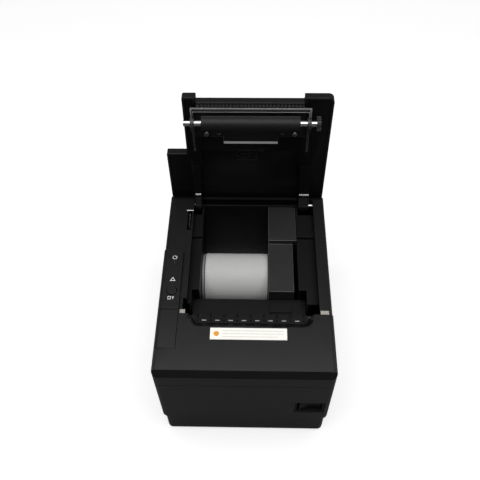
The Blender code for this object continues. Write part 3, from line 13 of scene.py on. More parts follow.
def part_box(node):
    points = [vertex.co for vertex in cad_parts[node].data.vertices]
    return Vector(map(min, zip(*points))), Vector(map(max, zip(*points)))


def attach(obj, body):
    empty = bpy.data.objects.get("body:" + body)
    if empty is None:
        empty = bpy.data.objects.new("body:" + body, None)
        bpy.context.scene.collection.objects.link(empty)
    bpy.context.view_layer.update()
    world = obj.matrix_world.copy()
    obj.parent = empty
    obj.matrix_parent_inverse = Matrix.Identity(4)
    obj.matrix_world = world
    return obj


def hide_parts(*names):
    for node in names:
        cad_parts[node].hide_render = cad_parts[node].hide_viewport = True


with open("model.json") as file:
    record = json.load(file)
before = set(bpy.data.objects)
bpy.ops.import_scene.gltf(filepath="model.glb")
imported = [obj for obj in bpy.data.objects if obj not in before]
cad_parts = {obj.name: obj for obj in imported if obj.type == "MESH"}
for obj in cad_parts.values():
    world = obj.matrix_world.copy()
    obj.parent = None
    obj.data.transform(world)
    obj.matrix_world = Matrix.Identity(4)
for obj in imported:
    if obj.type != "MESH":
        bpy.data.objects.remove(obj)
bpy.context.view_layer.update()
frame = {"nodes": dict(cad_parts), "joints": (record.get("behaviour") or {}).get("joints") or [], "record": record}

MM = 0.001
NODES = frame["nodes"]
JOINTS = {joint["name"]: joint for joint in frame["joints"]}
HINGE = Vector(JOINTS["cover_hinge"]["pos_m"])
OPENED = math.radians(JOINTS["cover_hinge"]["range_deg"][1])
# Takes a point of the closed cover, measured from its hinge, to its place on the open cover.
COVER = Matrix.Translation(HINGE) @ Matrix.Rotation(-OPENED, 4, "X")
ROLL_AXIS = Vector(JOINTS["paper_roll_spin"]["pos_m"])


# ---------------------------------------------------------------- finishes
class Finish:
    """A Principled material with the nodes that its pattern needs."""

    def __init__(self, name, roughness, metallic=0.0, specular=0.5):
        self.material = bpy.data.materials.new(name)
        self.material.use_nodes = True
        self.tree = self.material.node_tree
        self.shader = self.tree.nodes["Principled BSDF"]
        self.shader.inputs["Roughness"].default_value = roughness
        self.shader.inputs["Metallic"].default_value = metallic
        self.shader.inputs["Specular IOR Level"].default_value = specular
        self.place = self.tree.nodes.new("ShaderNodeTexCoord").outputs["Object"]

    def add(self, kind, **settings):
        """Adds a shader node with its settings."""
        node = self.tree.nodes.new(kind)
        for name, value in settings.items():
            setattr(node, name, value)
        return node

    def link(self, source, target):
        """Joins a node's output to another node's input."""
        self.tree.links.new(source, target)

    def noise(self, scale, detail=3.0, stretch=(1.0, 1.0, 1.0), roughness=0.5):
        """Value of a noise that varies over 1/scale metres."""
        mapping = self.add("ShaderNodeMapping")
        mapping.inputs["Scale"].default_value = stretch
        noise = self.add("ShaderNodeTexNoise")
        noise.inputs["Scale"].default_value = scale
        noise.inputs["Detail"].default_value = detail
        noise.inputs["Roughness"].default_value = roughness
        self.link(self.place, mapping.inputs["Vector"])
        self.link(mapping.outputs["Vector"], noise.inputs["Vector"])
        return noise.outputs["Fac"]

    def range(self, value, low, high, start=0.3, end=0.7):
        """Maps a pattern's value to a number between low and high."""
        node = self.add("ShaderNodeMapRange")
        for socket, number in (("From Min", start), ("From Max", end), ("To Min", low), ("To Max", high)):
            node.inputs[socket].default_value = number
        self.link(value, node.inputs["Value"])
        return node.outputs["Result"]

    def colours(self, value, *stops):
        """Colour that follows a pattern's value through (position, colour) stops."""
        ramp = self.add("ShaderNodeValToRGB")
        elements = ramp.color_ramp.elements
        while len(elements) < len(stops):
            elements.new(0.5)
        for element, (position, colour) in zip(elements, stops):
            element.position = position
            element.color = (*colour, 1.0)
        self.link(value, ramp.inputs["Fac"])
        self.link(ramp.outputs["Color"], self.shader.inputs["Base Color"])

    def rough(self, value, low, high):
        """Lets the roughness follow a pattern's value."""
        self.link(self.range(value, low, high), self.shader.inputs["Roughness"])

    def bump(self, value, height, strength=1.0):
        """Lets the surface seem to rise with a pattern's value, by up to a height."""
        node = self.add("ShaderNodeBump")
        node.inputs["Distance"].default_value = height
        node.inputs["Strength"].default_value = strength
        self.link(value, node.inputs["Height"])
        self.link(node.outputs["Normal"], self.shader.inputs["Normal"])


def moulded(name, dark, light, roughness=(0.40, 0.44), grain=2600.0, relief=0.00003, specular=0.5):
    """Injection-moulded plastic: cloudy colour, a fine spark-eroded grain and uneven gloss."""
    finish = Finish(name, roughness[0], specular=specular)
    cloud = finish.noise(38.0, 4.0)
    finish.colours(cloud, (0.32, dark), (0.70, light))
    finish.rough(finish.noise(160.0, 5.0), *roughness)
    finish.bump(finish.noise(grain, 2.0), relief, 0.6)
    return finish.material


def sheet_metal(name, dark, light, roughness=(0.18, 0.34), stretch=(1.0, 14.0, 14.0), metallic=1.0):
    """Metal with rolling marks drawn out along the sheet."""
    finish = Finish(name, roughness[0], metallic=metallic)
    streak = finish.noise(90.0, 6.0, stretch)
    finish.colours(streak, (0.30, dark), (0.72, light))
    finish.rough(streak, *roughness)
    finish.bump(finish.noise(500.0, 3.0, stretch), 0.000008, 0.35)
    return finish.material


def paper_face():
    """Wound thermal paper: faint fibre, and the edges of its turns on the two end faces."""
    turn_rate = 9000.0  # radians of the sine for each metre of radius: a line every 0.7 mm
    finish = Finish("paper_wound", 0.5, specular=0.3)
    centred = finish.add("ShaderNodeMapping")
    centred.inputs["Location"].default_value = (0.0, -ROLL_AXIS.y, -ROLL_AXIS.z)
    flat = finish.add("ShaderNodeVectorMath", operation="MULTIPLY")
    flat.inputs[1].default_value = (0.0, 1.0, 1.0)
    length = finish.add("ShaderNodeVectorMath", operation="LENGTH")
    turns = finish.add("ShaderNodeMath", operation="MULTIPLY")
    turns.inputs[1].default_value = turn_rate
    wave = finish.add("ShaderNodeMath", operation="SINE")
    finish.link(finish.place, centred.inputs["Vector"])
    finish.link(centred.outputs["Vector"], flat.inputs[0])
    finish.link(flat.outputs["Vector"], length.inputs[0])
    finish.link(length.outputs["Value"], turns.inputs[0])
    finish.link(turns.outputs["Value"], wave.inputs[0])
    fibre = finish.noise(420.0, 5.0, (1.0, 3.0, 3.0))
    finish.colours(fibre, (0.25, (0.44, 0.44, 0.435)), (0.75, (0.49, 0.49, 0.485)))
    finish.rough(finish.noise(90.0, 3.0), 0.46, 0.60)
    finish.bump(wave.outputs["Value"], 0.00003, 0.25)
    return finish.material


def speckled(name, dark, light, scale, roughness=(0.4, 0.6), specular=0.5, metallic=0.0, relief=0.00001):
    """Plain stuff with a fine speckle, such as card, ceramic or rubber."""
    finish = Finish(name, roughness[0], metallic=metallic, specular=specular)
    finish.colours(finish.noise(scale, 5.0), (0.30, dark), (0.70, light))
    finish.rough(finish.noise(scale / 4.0, 3.0), *roughness)
    finish.bump(finish.noise(scale * 2.0, 3.0), relief, 0.5)
    return finish.material


def board_face():
    """Green solder mask over copper tracks that show as paler lines, on a grid of about 4 mm."""
    finish = Finish("solder_mask", 0.35)
    tracks = finish.add("ShaderNodeTexVoronoi", feature="DISTANCE_TO_EDGE", distance="MANHATTAN")
    tracks.inputs["Scale"].default_value = 260.0
    finish.link(finish.place, tracks.inputs["Vector"])
    finish.colours(tracks.outputs["Distance"], (0.05, (0.030, 0.17, 0.075)), (0.12, (0.010, 0.085, 0.038)))
    finish.rough(finish.noise(200.0, 3.0), 0.28, 0.42)
    finish.bump(tracks.outputs["Distance"], 0.00002, 0.4)
    return finish.material


def lens_face(name, dark, light):
    """Glossy tinted lens over a lamp that is off."""
    finish = Finish(name, 0.12)
    finish.shader.inputs["Coat Weight"].default_value = 0.5
    finish.shader.inputs["Coat Roughness"].default_value = 0.05
    finish.colours(finish.noise(900.0, 2.0), (0.3, dark), (0.7, light))
    finish.bump(finish.noise(1600.0, 2.0), 0.00001, 0.3)
    return finish.material


def grey(value, tint=0.0):
    """Grey with a little blue in it, for a tint above 0."""
    return (value, value, value * (1.0 + tint))


CASE = moulded("case_grain", grey(0.0046), grey(0.0054), (0.31, 0.34), specular=0.36)
INNER = moulded("inner_grain", grey(0.0030, 0.05), grey(0.0037, 0.05), (0.38, 0.42), 4200.0, 0.000015, 0.18)
SLIDER = moulded("slider_grain", grey(0.0135), grey(0.0155), (0.38, 0.42), 4200.0, 0.000015, 0.40)
# Pale plastic for rounded edges: a painted highlight along them.
EDGE_HIGHLIGHT = moulded("painted_edge_highlight", grey(0.070), grey(0.085), (0.34, 0.40), 4200.0, 0.000015, 0.50)
PANEL = moulded("panel_grain", grey(0.0048), grey(0.0056), (0.31, 0.34), specular=0.38)
BRIGHT = sheet_metal("bright_metal", grey(0.55), grey(0.74))
BLACKED = speckled("blacked_metal", grey(0.0070), grey(0.0095), 700.0, (0.34, 0.40), 0.35)
# Pale, partly diffuse steel: bare steel's own colour, lightened as a painted highlight on edges.
BARE_STEEL_AND_HIGHLIGHT = sheet_metal("bare_steel_and_painted_highlight", grey(0.34), grey(0.46), (0.42, 0.55), metallic=0.35)
# Near-white thin steel: its pale colour is largely a painted highlight on edges and strips.
HIGHLIGHT_STEEL = sheet_metal("steel_painted_highlight", grey(0.82), grey(0.92), (0.42, 0.55), metallic=0.15)
ZINC = sheet_metal("zinc_metal", grey(0.22), grey(0.36, 0.03), (0.30, 0.45))
HEATSINK = sheet_metal("sink_metal", grey(0.48), grey(0.60), (0.32, 0.46))
PLATEN_RUBBER = speckled("platen_rubber", grey(0.0050), grey(0.0070), 1500.0, (0.50, 0.62), 0.3)
FOOT_RUBBER = speckled("foot_rubber", grey(0.012), grey(0.020), 1200.0, (0.70, 0.85))
ACETAL = moulded("acetal", grey(0.020), grey(0.030), (0.34, 0.44))
PAPER = paper_face()
CARD = speckled("core_card", (0.34, 0.25, 0.16), (0.46, 0.36, 0.25), 700.0, (0.75, 0.90), 0.2)
BEIGE = speckled("beige_pad", (0.30, 0.28, 0.25), (0.42, 0.39, 0.35), 600.0, (0.30, 0.45))
BOARD = board_face()
RED_LENS = lens_face("red_lens", (0.020, 0.004, 0.004), (0.035, 0.008, 0.007))
GREEN_LENS = lens_face("green_lens", (0.006, 0.016, 0.008), (0.010, 0.028, 0.013))
DISC = speckled("disc_plastic", grey(0.20), grey(0.26), 500.0, (0.38, 0.50))
CERAMIC = speckled("glazed_ceramic", (0.24, 0.18, 0.11), (0.34, 0.27, 0.17), 800.0, (0.10, 0.20))
LABEL = speckled("label_film", (0.90, 0.89, 0.82), (0.95, 0.94, 0.88), 300.0, (0.30, 0.42), 0.4)
AMBER = speckled("amber_ink", (0.70, 0.30, 0.015), (0.78, 0.36, 0.02), 900.0, (0.35, 0.5), 0.4)
GREY_INK = speckled("grey_ink", (0.58, 0.56, 0.52), (0.66, 0.64, 0.60), 900.0, (0.35, 0.5), 0.4)
WHITE_INK = speckled("white_ink", grey(0.62), grey(0.78), 1400.0, (0.40, 0.55), 0.4)
GOLD = sheet_metal("gold_plate", (0.70, 0.46, 0.16), (0.85, 0.60, 0.25), (0.18, 0.28))

SLOT_LOOKS = {
    "case_plastic": CASE, "inner_plastic": INNER, "bright_steel": BRIGHT, "dark_steel": ZINC,
    "rubber": FOOT_RUBBER, "gear_plastic": ACETAL, "thermal_paper": PAPER, "pale_plastic": BEIGE,
    "power_lens": GREEN_LENS, "error_lens": RED_LENS, "circuit_board": BOARD, "guide_disc": DISC,
    "core_card": CARD, "heatsink": HEATSINK, "head_ceramic": CERAMIC, "label_film": LABEL,
}
NODE_SLOTS = {part["node"]: part["material_slot"] for part in frame["record"]["subparts"]}
NODE_BODIES = {node: body for body, nodes in frame["record"]["behaviour"]["bodies"].items() for node in nodes}


# ---------------------------------------------------------------- making pieces
CREASE = 32.0      # faces that meet at less than this shade as one surface
EDGE_ANGLE = 40.0  # edges sharper than this are rounded
FLAT_ANGLE = 0.6   # CAD triangles that meet at less than this become one face
WELD = 5e-6        # CAD points closer than this become one


def put(name, data):
    """Adds an object to the scene."""
    thing = bpy.data.objects.new(name, data)
    bpy.context.scene.collection.objects.link(thing)
    return thing


def mesh_from(bm, name):
    """Turns a finished bmesh into a mesh."""
    mesh = bpy.data.meshes.new(name)
    bm.to_mesh(mesh)
    bm.free()
    return mesh


def shade(mesh, angle=CREASE):
    """Smooth shading, with a sharp edge wherever faces meet at more than an angle."""
    mesh.shade_smooth()
    mesh.set_sharp_from_angle(angle=math.radians(angle))


def piece_from(bm, name, look, body, place=None, crease=CREASE):
    """A new piece on a body. Its points are in the row's frame, or in that of place."""
    bmesh.ops.recalc_face_normals(bm, faces=bm.faces)
    if place is not None:
        bmesh.ops.transform(bm, verts=bm.verts, matrix=place)
    mesh = mesh_from(bm, name)
    shade(mesh, crease)
    piece = put(name, mesh)
    mesh.materials.append(look)
    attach(piece, body)
    return piece


def soften(piece, width, segments=2, edge_look=None):
    """Rounds a piece's sharp edges; the rounded strips can have a look of their own."""
    bevel = piece.modifiers.new("edges", "BEVEL")
    bevel.width = width
    bevel.segments = segments
    bevel.limit_method = "ANGLE"
    bevel.angle_limit = math.radians(EDGE_ANGLE)
    bevel.use_clamp_overlap = False
    bevel.miter_outer = "MITER_ARC"
    if edge_look is not None:
        piece.data.materials.append(edge_look)
        bevel.material = 1


def flatten(piece):
    """Keeps the shading of wide faces flat beside their rounded edges."""
    normals = piece.modifiers.new("normals", "WEIGHTED_NORMAL")
    normals.keep_sharp = True
    normals.weight = 100


def rebuilt(node, width=0.0, look=None, segments=2, edge_look=None, crease=CREASE):
    """Stands for a CAD node: the same solid, with clean faces and rounded edges where a width is given."""
    bm = bmesh.new()
    bm.from_mesh(NODES[node].data)
    bmesh.ops.remove_doubles(bm, verts=bm.verts, dist=WELD)
    if width > 0.0:
        bmesh.ops.dissolve_limit(bm, angle_limit=math.radians(FLAT_ANGLE), verts=bm.verts, edges=bm.edges)
    slot = NODE_SLOTS[node]
    piece = piece_from(bm, node + "_body", look or SLOT_LOOKS[slot], NODE_BODIES[node], crease=crease)
    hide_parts(node)
    if width > 0.0:
        soften(piece, width, segments, edge_look)
    flatten(piece)


def stroke(bm, points, width, low, high, closed=False):
    """A raised line of constant width along points (x, y), mitred at its corners, between two heights."""
    points = [Vector(point) for point in points]
    courses = [(b - a).normalized() for a, b in zip(points, points[1:] + points[:1])]
    rings = []
    for i, point in enumerate(points):
        into, out = courses[i - 1], courses[i]
        if not closed and i == 0:
            into = out
        if not closed and i == len(points) - 1:
            out = into
        mitre = (into + out).normalized()
        side = Vector((-mitre.y, mitre.x)) * (width * 0.5 / mitre.dot(out))
        rings.append([bm.verts.new((*(point + sign * side), height))
                      for sign, height in ((-1, low), (1, low), (1, high), (-1, high))])
    for a, b in zip(rings, rings[1:] + rings[:1] if closed else rings[1:]):
        for k in range(4):
            bm.faces.new((a[k], a[(k + 1) % 4], b[(k + 1) % 4], b[k]))
    if not closed:
        bm.faces.new(rings[0][::-1])
        bm.faces.new(rings[-1])


def slab(bm, outline, low, high):
    """A flat plate: an outline (x, y) between two heights."""
    bottom = [bm.verts.new((x, y, low)) for x, y in outline]
    top = [bm.verts.new((x, y, high)) for x, y in outline]
    bm.faces.new(bottom[::-1])
    bm.faces.new(top)
    for i in range(len(outline)):
        j = (i + 1) % len(outline)
        bm.faces.new((bottom[i], bottom[j], top[j], top[i]))


def plate(bm, left, right, front, rear, low, high):
    """A rectangular plate between six faces."""
    slab(bm, [(left, front), (right, front), (right, rear), (left, rear)], low, high)


def around(x, y, *offsets):
    """Points given in millimetres from a middle (x, y)."""
    return [(x + across * MM, y + along * MM) for across, along in offsets]


def spread(middle, count, pitch):
    """Places of a row of equal things about a middle."""
    return [middle + (index - (count - 1) / 2) * pitch for index in range(count)]


def ring_points(centre, radius, first=0.0, last=360.0, count=24):
    """Points on an arc, in degrees; a full circle leaves out its repeated last point."""
    full = abs(last - first) >= 360.0
    steps = count if full else count + 1
    turns = [math.radians(first + (last - first) * i / count) for i in range(steps)]
    return [(centre[0] + radius * math.cos(t), centre[1] + radius * math.sin(t)) for t in turns]


def lathe(bm, profile, count=28):
    """Turns a profile of (radius, height) points about the Z axis; its ends close on the axis."""
    rings = []
    for radius, height in profile:
        if radius < 1e-7:
            rings.append([bm.verts.new((0.0, 0.0, height))])
            continue
        rings.append([bm.verts.new((x, y, height)) for x, y in ring_points((0.0, 0.0), radius, count=count)])
    for lower, upper in zip(rings, rings[1:]):
        for i in range(count):
            j = (i + 1) % count
            face = [lower[i % len(lower)], lower[j % len(lower)],
                    upper[j % len(upper)], upper[i % len(upper)]]
            face = [v for k, v in enumerate(face) if v not in face[:k]]
            if len(face) > 2:
                bm.faces.new(face)


def facing(point, direction):
    """Places a thing modelled on the Z axis at a point, its Z axis along a direction."""
    turn = Vector(direction).to_track_quat("Z", "Y").to_matrix().to_4x4()
    return Matrix.Translation(Vector(point)) @ turn


def box_in(node, space):
    """Corners of a CAD node measured along the axes of another space."""
    back = space.inverted()
    points = [back @ vertex.co for vertex in NODES[node].data.vertices]
    low = Vector([min(p[k] for p in points) for k in range(3)])
    high = Vector([max(p[k] for p in points) for k in range(3)])
    return low, high


# ---------------------------------------------------------------- case
PRINT_GAP = 0.00001  # a print's underside lies this far above its face


def dress_case():
    """Shells, control strip with its board, buttons and lenses, power switch, pads and feet."""
    rebuilt("base_tray", 0.30 * MM)
    rebuilt("lower_case", 0.30 * MM)
    rebuilt("upper_case", crease=17.0)
    rebuilt("control_panel", 0.22 * MM, PANEL)
    rebuilt("release_button", 0.25 * MM, PANEL)
    rebuilt("feed_button", 0.30 * MM, PANEL, segments=3)
    rebuilt("power_switch_housing", 0.20 * MM)
    rebuilt("power_rocker", 0.35 * MM, segments=3)
    rebuilt("rail_pad_left", 0.15 * MM)
    rebuilt("rail_pad_right", 0.15 * MM)
    for side in ("front_left", "front_right", "rear_left", "rear_right"):
        rebuilt("foot_" + side, 0.35 * MM)
    rebuilt("power_lens", 0.15 * MM)
    rebuilt("error_lens", 0.15 * MM)
    rebuilt("panel_board", 0.10 * MM)


def control_marks():
    """Generic signs beside the lamps and the button: power, fault and feed."""
    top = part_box("control_panel")[1].z + PRINT_GAP
    paint = (top, top + 0.00004)
    power, fault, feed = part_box("power_lens"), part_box("error_lens"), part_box("feed_button")
    x = (power[0].x + power[1].x) / 2
    width = 0.50 * MM

    bm = bmesh.new()
    y = power[1].y + 4.1 * MM
    stroke(bm, ring_points((x, y), 1.8 * MM, 125.0, 415.0, 18), width, *paint)
    stroke(bm, around(x, y, (0.0, 0.5), (0.0, 2.3)), width, *paint)
    y = fault[1].y + 3.4 * MM
    stroke(bm, around(x, y, (-2.0, -1.3), (2.0, -1.3), (0.0, 1.9)), width, *paint, closed=True)
    y = feed[0].y - 3.2 * MM
    page = around(x, y, (-2.6, -1.1), (-0.4, -1.1), (-0.4, 1.4), (-2.6, 1.4))
    stroke(bm, page, width, *paint, closed=True)
    stroke(bm, around(x, y, (1.6, -1.2), (1.6, 1.3)), width, *paint)
    stroke(bm, around(x, y, (0.7, 0.5), (1.6, 1.5), (2.5, 0.5)), width, *paint)
    piece_from(bm, "control_signs", WHITE_INK, "body")


def dress_label():
    """Blank label with a plain amber dot and three empty rules."""
    rebuilt("blank_label")
    low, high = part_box("blank_label")
    ink = (high.z + PRINT_GAP, high.z + 0.00003)
    middle = (low.y + high.y) / 2
    bm = bmesh.new()
    slab(bm, ring_points((low.x + 5.0 * MM, middle), 2.2 * MM, count=32), *ink)
    piece_from(bm, "label_dot", AMBER, "body")
    bm = bmesh.new()
    for row, short in ((-1, 7.5 * MM), (0, 2.5 * MM), (1, 2.5 * MM)):
        y = middle + row * 2.6 * MM
        stroke(bm, [(low.x + 10.0 * MM, y), (high.x - short, y)], 0.45 * MM, *ink)
    piece_from(bm, "label_rules", GREY_INK, "body")


def screw(name, point, direction, radius, body, look=BRIGHT):
    """Pan-head screw with a cross recess."""
    tall = radius * 0.7
    place = facing(point, direction)
    bm = bmesh.new()
    lathe(bm, [(0.0, -tall * 0.4), (radius, -tall * 0.4), (radius, tall * 0.35), (radius * 0.86, tall * 0.75),
               (radius * 0.55, tall), (0.0, tall * 1.05)])
    head = piece_from(bm, name, look, body, place)
    cross = bmesh.new()
    for turn in (0.0, math.pi / 2):
        arm = (math.cos(turn) * radius * 0.58, math.sin(turn) * radius * 0.58)
        stroke(cross, [(-arm[0], -arm[1]), arm], radius * 0.22, tall * 0.35, tall * 2.0)
    bmesh.ops.transform(cross, verts=cross.verts, matrix=place)
    tool = put("tool", mesh_from(cross, "tool"))
    cut = head.modifiers.new("cross", "BOOLEAN")
    cut.operation = "DIFFERENCE"
    cut.solver = "EXACT"
    cut.use_self = True
    cut.object = tool
    graph = bpy.context.evaluated_depsgraph_get()
    mesh = bpy.data.meshes.new_from_object(head.evaluated_get(graph))
    head.modifiers.clear()
    head.data = mesh
    shade(mesh)
    bpy.data.objects.remove(tool)
    return head


# ---------------------------------------------------------------- paper side
def dress_bin():
    """Paper bin, its partition and guide disc, the roll's core, and the exit comb."""
    rebuilt("paper_bin", 0.25 * MM)
    # The partition's rounded edges get a painted highlight.
    rebuilt("width_partition", 0.30 * MM, SLIDER, edge_look=EDGE_HIGHLIGHT)
    rebuilt("roll_guide_disc", 0.30 * MM)
    rebuilt("paper_core", 0.10 * MM)
    rebuilt("exit_comb", 0.12 * MM)


def dress_roll():
    """The roll, with the step where its outermost turn ends."""
    low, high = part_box("paper_roll")
    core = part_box("paper_core")
    outer = (high.z - low.z) / 2
    inner = (core[1].z - core[0].z) / 2 + 0.3 * MM
    half = (high.x - low.x) / 2
    chamfer = 0.15 * MM
    step, count, end_turn = 0.12 * MM, 144, math.radians(200.0)
    bm = bmesh.new()
    rings = []
    for i in range(count):
        turn = end_turn + math.tau * i / (count - 1)
        radius = outer - step * (i / (count - 1))
        across = [(-half, inner), (-half, radius - chamfer), (-half + chamfer, radius),
                  (half - chamfer, radius), (half, radius - chamfer), (half, inner)]
        rings.append([bm.verts.new((x, r * math.cos(turn), r * math.sin(turn))) for x, r in across])
    for a, b in zip(rings, rings[1:]):
        for k in range(6):
            m = (k + 1) % 6
            bm.faces.new((a[k], a[m], b[m], b[k]))
    # The step's face joins the first and last rings, which share their points on the bore.
    first, last = rings[0], rings[-1]
    bmesh.ops.remove_doubles(bm, verts=[first[0], last[0], first[5], last[5]], dist=1e-7)
    first = [v for v in first if v.is_valid]
    last = [v for v in last if v.is_valid and v not in first]
    bm.faces.new(first + last[::-1])
    centre = Vector(((low.x + high.x) / 2, ROLL_AXIS.y, ROLL_AXIS.z))
    roll = piece_from(bm, "paper_roll_wound", PAPER, "paper_roll",
                      Matrix.Translation(centre))
    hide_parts("paper_roll")


# ---------------------------------------------------------------- mechanism
def dress_mechanism():
    """Frame, print head, cutter, motors, gears, latch, hinge pins, lid spring and main board."""
    rebuilt("mechanism_frame", 0.10 * MM)
    rebuilt("cutter_frame", 0.10 * MM, BLACKED)
    rebuilt("cutter_blade", 0.05 * MM)
    rebuilt("print_head", 0.08 * MM)
    rebuilt("head_heatsink", 0.15 * MM)
    rebuilt("head_pivot_rod", 0.15 * MM)
    rebuilt("head_spring", 0.08 * MM)
    rebuilt("feed_motor", 0.25 * MM)
    rebuilt("cutter_motor", 0.25 * MM)
    for gear in ("idler_gear", "cutter_gear", "platen_gear"):
        rebuilt(gear, 0.06 * MM)
    rebuilt("motor_pinion", 0.06 * MM)
    rebuilt("latch_shaft", 0.15 * MM)
    rebuilt("latch_hook_left", 0.12 * MM)
    rebuilt("latch_hook_right", 0.12 * MM)
    rebuilt("release_lever", 0.12 * MM)
    rebuilt("hinge_pin_left", 0.15 * MM)
    rebuilt("hinge_pin_right", 0.15 * MM)
    rebuilt("lid_spring")
    rebuilt("main_board", 0.10 * MM)


# ---------------------------------------------------------------- connectors
def dress_connectors():
    """The plate at the rear with its sockets, screws and contacts."""
    rebuilt("connector_plate", 0.10 * MM)
    for node in ("power_inlet", "drawer_port"):
        rebuilt(node, 0.20 * MM)
    for node in ("usb_port", "network_port"):
        rebuilt(node, 0.12 * MM)
    low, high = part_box("connector_plate")
    for side, x in (("left", low.x + 4.0 * MM), ("right", high.x - 4.0 * MM)):
        screw("plate_screw_" + side, (x, high.y, (low.z + high.z) / 2), (0, 1, 0), 2.2 * MM, "body")
    contacts("network_contacts", "network_port", 8)
    contacts("drawer_contacts", "drawer_port", 6)


def contacts(name, node, count):
    """Row of sprung gold wires under the roof of a socket."""
    low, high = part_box(node)
    pitch, half = 1.02 * MM, 0.18 * MM
    roof = high.z - 1.2 * MM
    bm = bmesh.new()
    for x in spread((low.x + high.x) / 2, count, pitch):
        outline = [(high.y - 9.5 * MM, roof - 4.2 * MM), (high.y - 4.0 * MM, roof - 0.3 * MM),
                   (high.y - 4.0 * MM, roof + 0.05 * MM), (high.y - 9.5 * MM, roof - 3.8 * MM)]
        sides = [[bm.verts.new((x + side * half, y, z)) for y, z in outline] for side in (-1, 1)]
        bm.faces.new(sides[0])
        bm.faces.new(sides[1][::-1])
        for k in range(4):
            m = (k + 1) % 4
            bm.faces.new((sides[0][k], sides[0][m], sides[1][m], sides[1][k]))
    piece_from(bm, name, GOLD, "body")


# ---------------------------------------------------------------- cover
def dress_cover():
    """Cover shell and liner, and the platen with its bracket."""
    rebuilt("cover_shell", 0.30 * MM)
    rebuilt("cover_liner", crease=12.0)
    # The bracket's rounded edges get the pale steel: a painted highlight along them.
    rebuilt("platen_bracket", 0.12 * MM, BLACKED, edge_look=BARE_STEEL_AND_HIGHLIGHT)
    rebuilt("platen_roller", 0.20 * MM, PLATEN_RUBBER)
    rebuilt("platen_shaft", 0.30 * MM)
    rebuilt("platen_bush_left", 0.12 * MM)
    rebuilt("platen_bush_right", 0.12 * MM)


def dress_tear_bar():
    """Tear-off blade with a row of small teeth along its front edge."""
    low, high = box_in("tear_bar", COVER)
    pitch, depth = 1.5 * MM, 0.9 * MM
    count = round((high.x - low.x) / pitch)
    step = (high.x - low.x) / count
    edge = [(high.x, high.y), (low.x, high.y)]
    for index in range(count):
        edge.append((low.x + index * step, low.y + depth))
        edge.append((low.x + (index + 0.5) * step, low.y))
    edge.append((high.x, low.y + depth))
    bm = bmesh.new()
    slab(bm, edge, low.z, high.z)
    # The blade's pale steel is partly its own colour and partly a painted highlight.
    bar = piece_from(bm, "tear_bar_toothed", BARE_STEEL_AND_HIGHLIGHT, "cover", COVER)
    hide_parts("tear_bar")


def bracket_screws():
    """The two screws that hold the platen's bracket."""
    for side in ("left", "right"):
        node = "bracket_screw_" + side
        low, high = box_in(node, COVER)
        point = COVER @ Vector(((low.x + high.x) / 2, (low.y + high.y) / 2, low.z + 0.5 * MM))
        turned = COVER.to_3x3() @ Vector((0, 0, -1))
        head = screw("pan_" + node, point, turned, (high.x - low.x) / 2, "cover", ZINC)
        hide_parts(node)


def liner_details():
    """Fine ribs on the liner's nose and a raised roll-loading sketch on its face."""
    low = box_in("cover_liner", COVER)[0]
    bar_low, bar_high = box_in("tear_bar", COVER)
    web_low, web_high = box_in("platen_bracket", COVER)
    under = bar_high.z + 0.3 * MM
    count, pitch, half = 29, 3.0 * MM, 0.35 * MM
    bm = bmesh.new()
    for x in spread((bar_low.x + bar_high.x) / 2, count, pitch):
        plate(bm, x - half, x + half, low.y + 0.6 * MM, bar_low.y - 0.15 * MM,
              under - 0.30 * MM, under + 0.1 * MM)
    piece_from(bm, "nose_ribs", INNER, "cover", COVER)

    face = box_in("cover_shell", COVER)[0].z + 0.5 * MM
    x, y = (web_low.x + web_high.x) / 2, web_high.y + 16.5 * MM
    line, roll = 0.75 * MM, (x - 6.5 * MM, y)
    lines = [around(x, y, (-6.5, -6.8), (10.9, -6.8)),
             around(x, y, (8.3, -9.9), (11.8, -6.8), (8.3, -3.7)),
             around(x, y, (-14.0, 8.8), (5.0, 8.8), (5.0, -2.4))]
    relief = (face - 0.25 * MM, face + 0.30 * MM)
    bm = bmesh.new()
    for points in lines:
        stroke(bm, dense(points), line, *relief)
    for radius in (6.0 * MM, 1.9 * MM):
        stroke(bm, ring_points(roll, radius, count=36), line, *relief, closed=True)
    for vertex in bm.verts:
        vertex.co.z += well_depth(vertex.co.y)
    piece_from(bm, "loading_sketch", SLIDER, "cover", COVER)


def dense(points, step=1.0 * MM):
    """The same line with points at most a step apart."""
    line = [points[0]]
    for start, end in zip(points, points[1:]):
        count = max(1, math.ceil(math.dist(start, end) / step))
        for k in range(1, count + 1):
            line.append(tuple(a + (b - a) * k / count for a, b in zip(start, end)))
    return line


def well_depth(y):
    """Depth of the liner's hollow over the paper roll, at a distance along the cover."""
    radius, deepest = 70.0 * MM, 3.8 * MM
    middle = ROLL_AXIS.y - HINGE.y + 18.0 * MM
    return max(0.0, math.sqrt(radius ** 2 - (y - middle) ** 2) - radius + deepest)


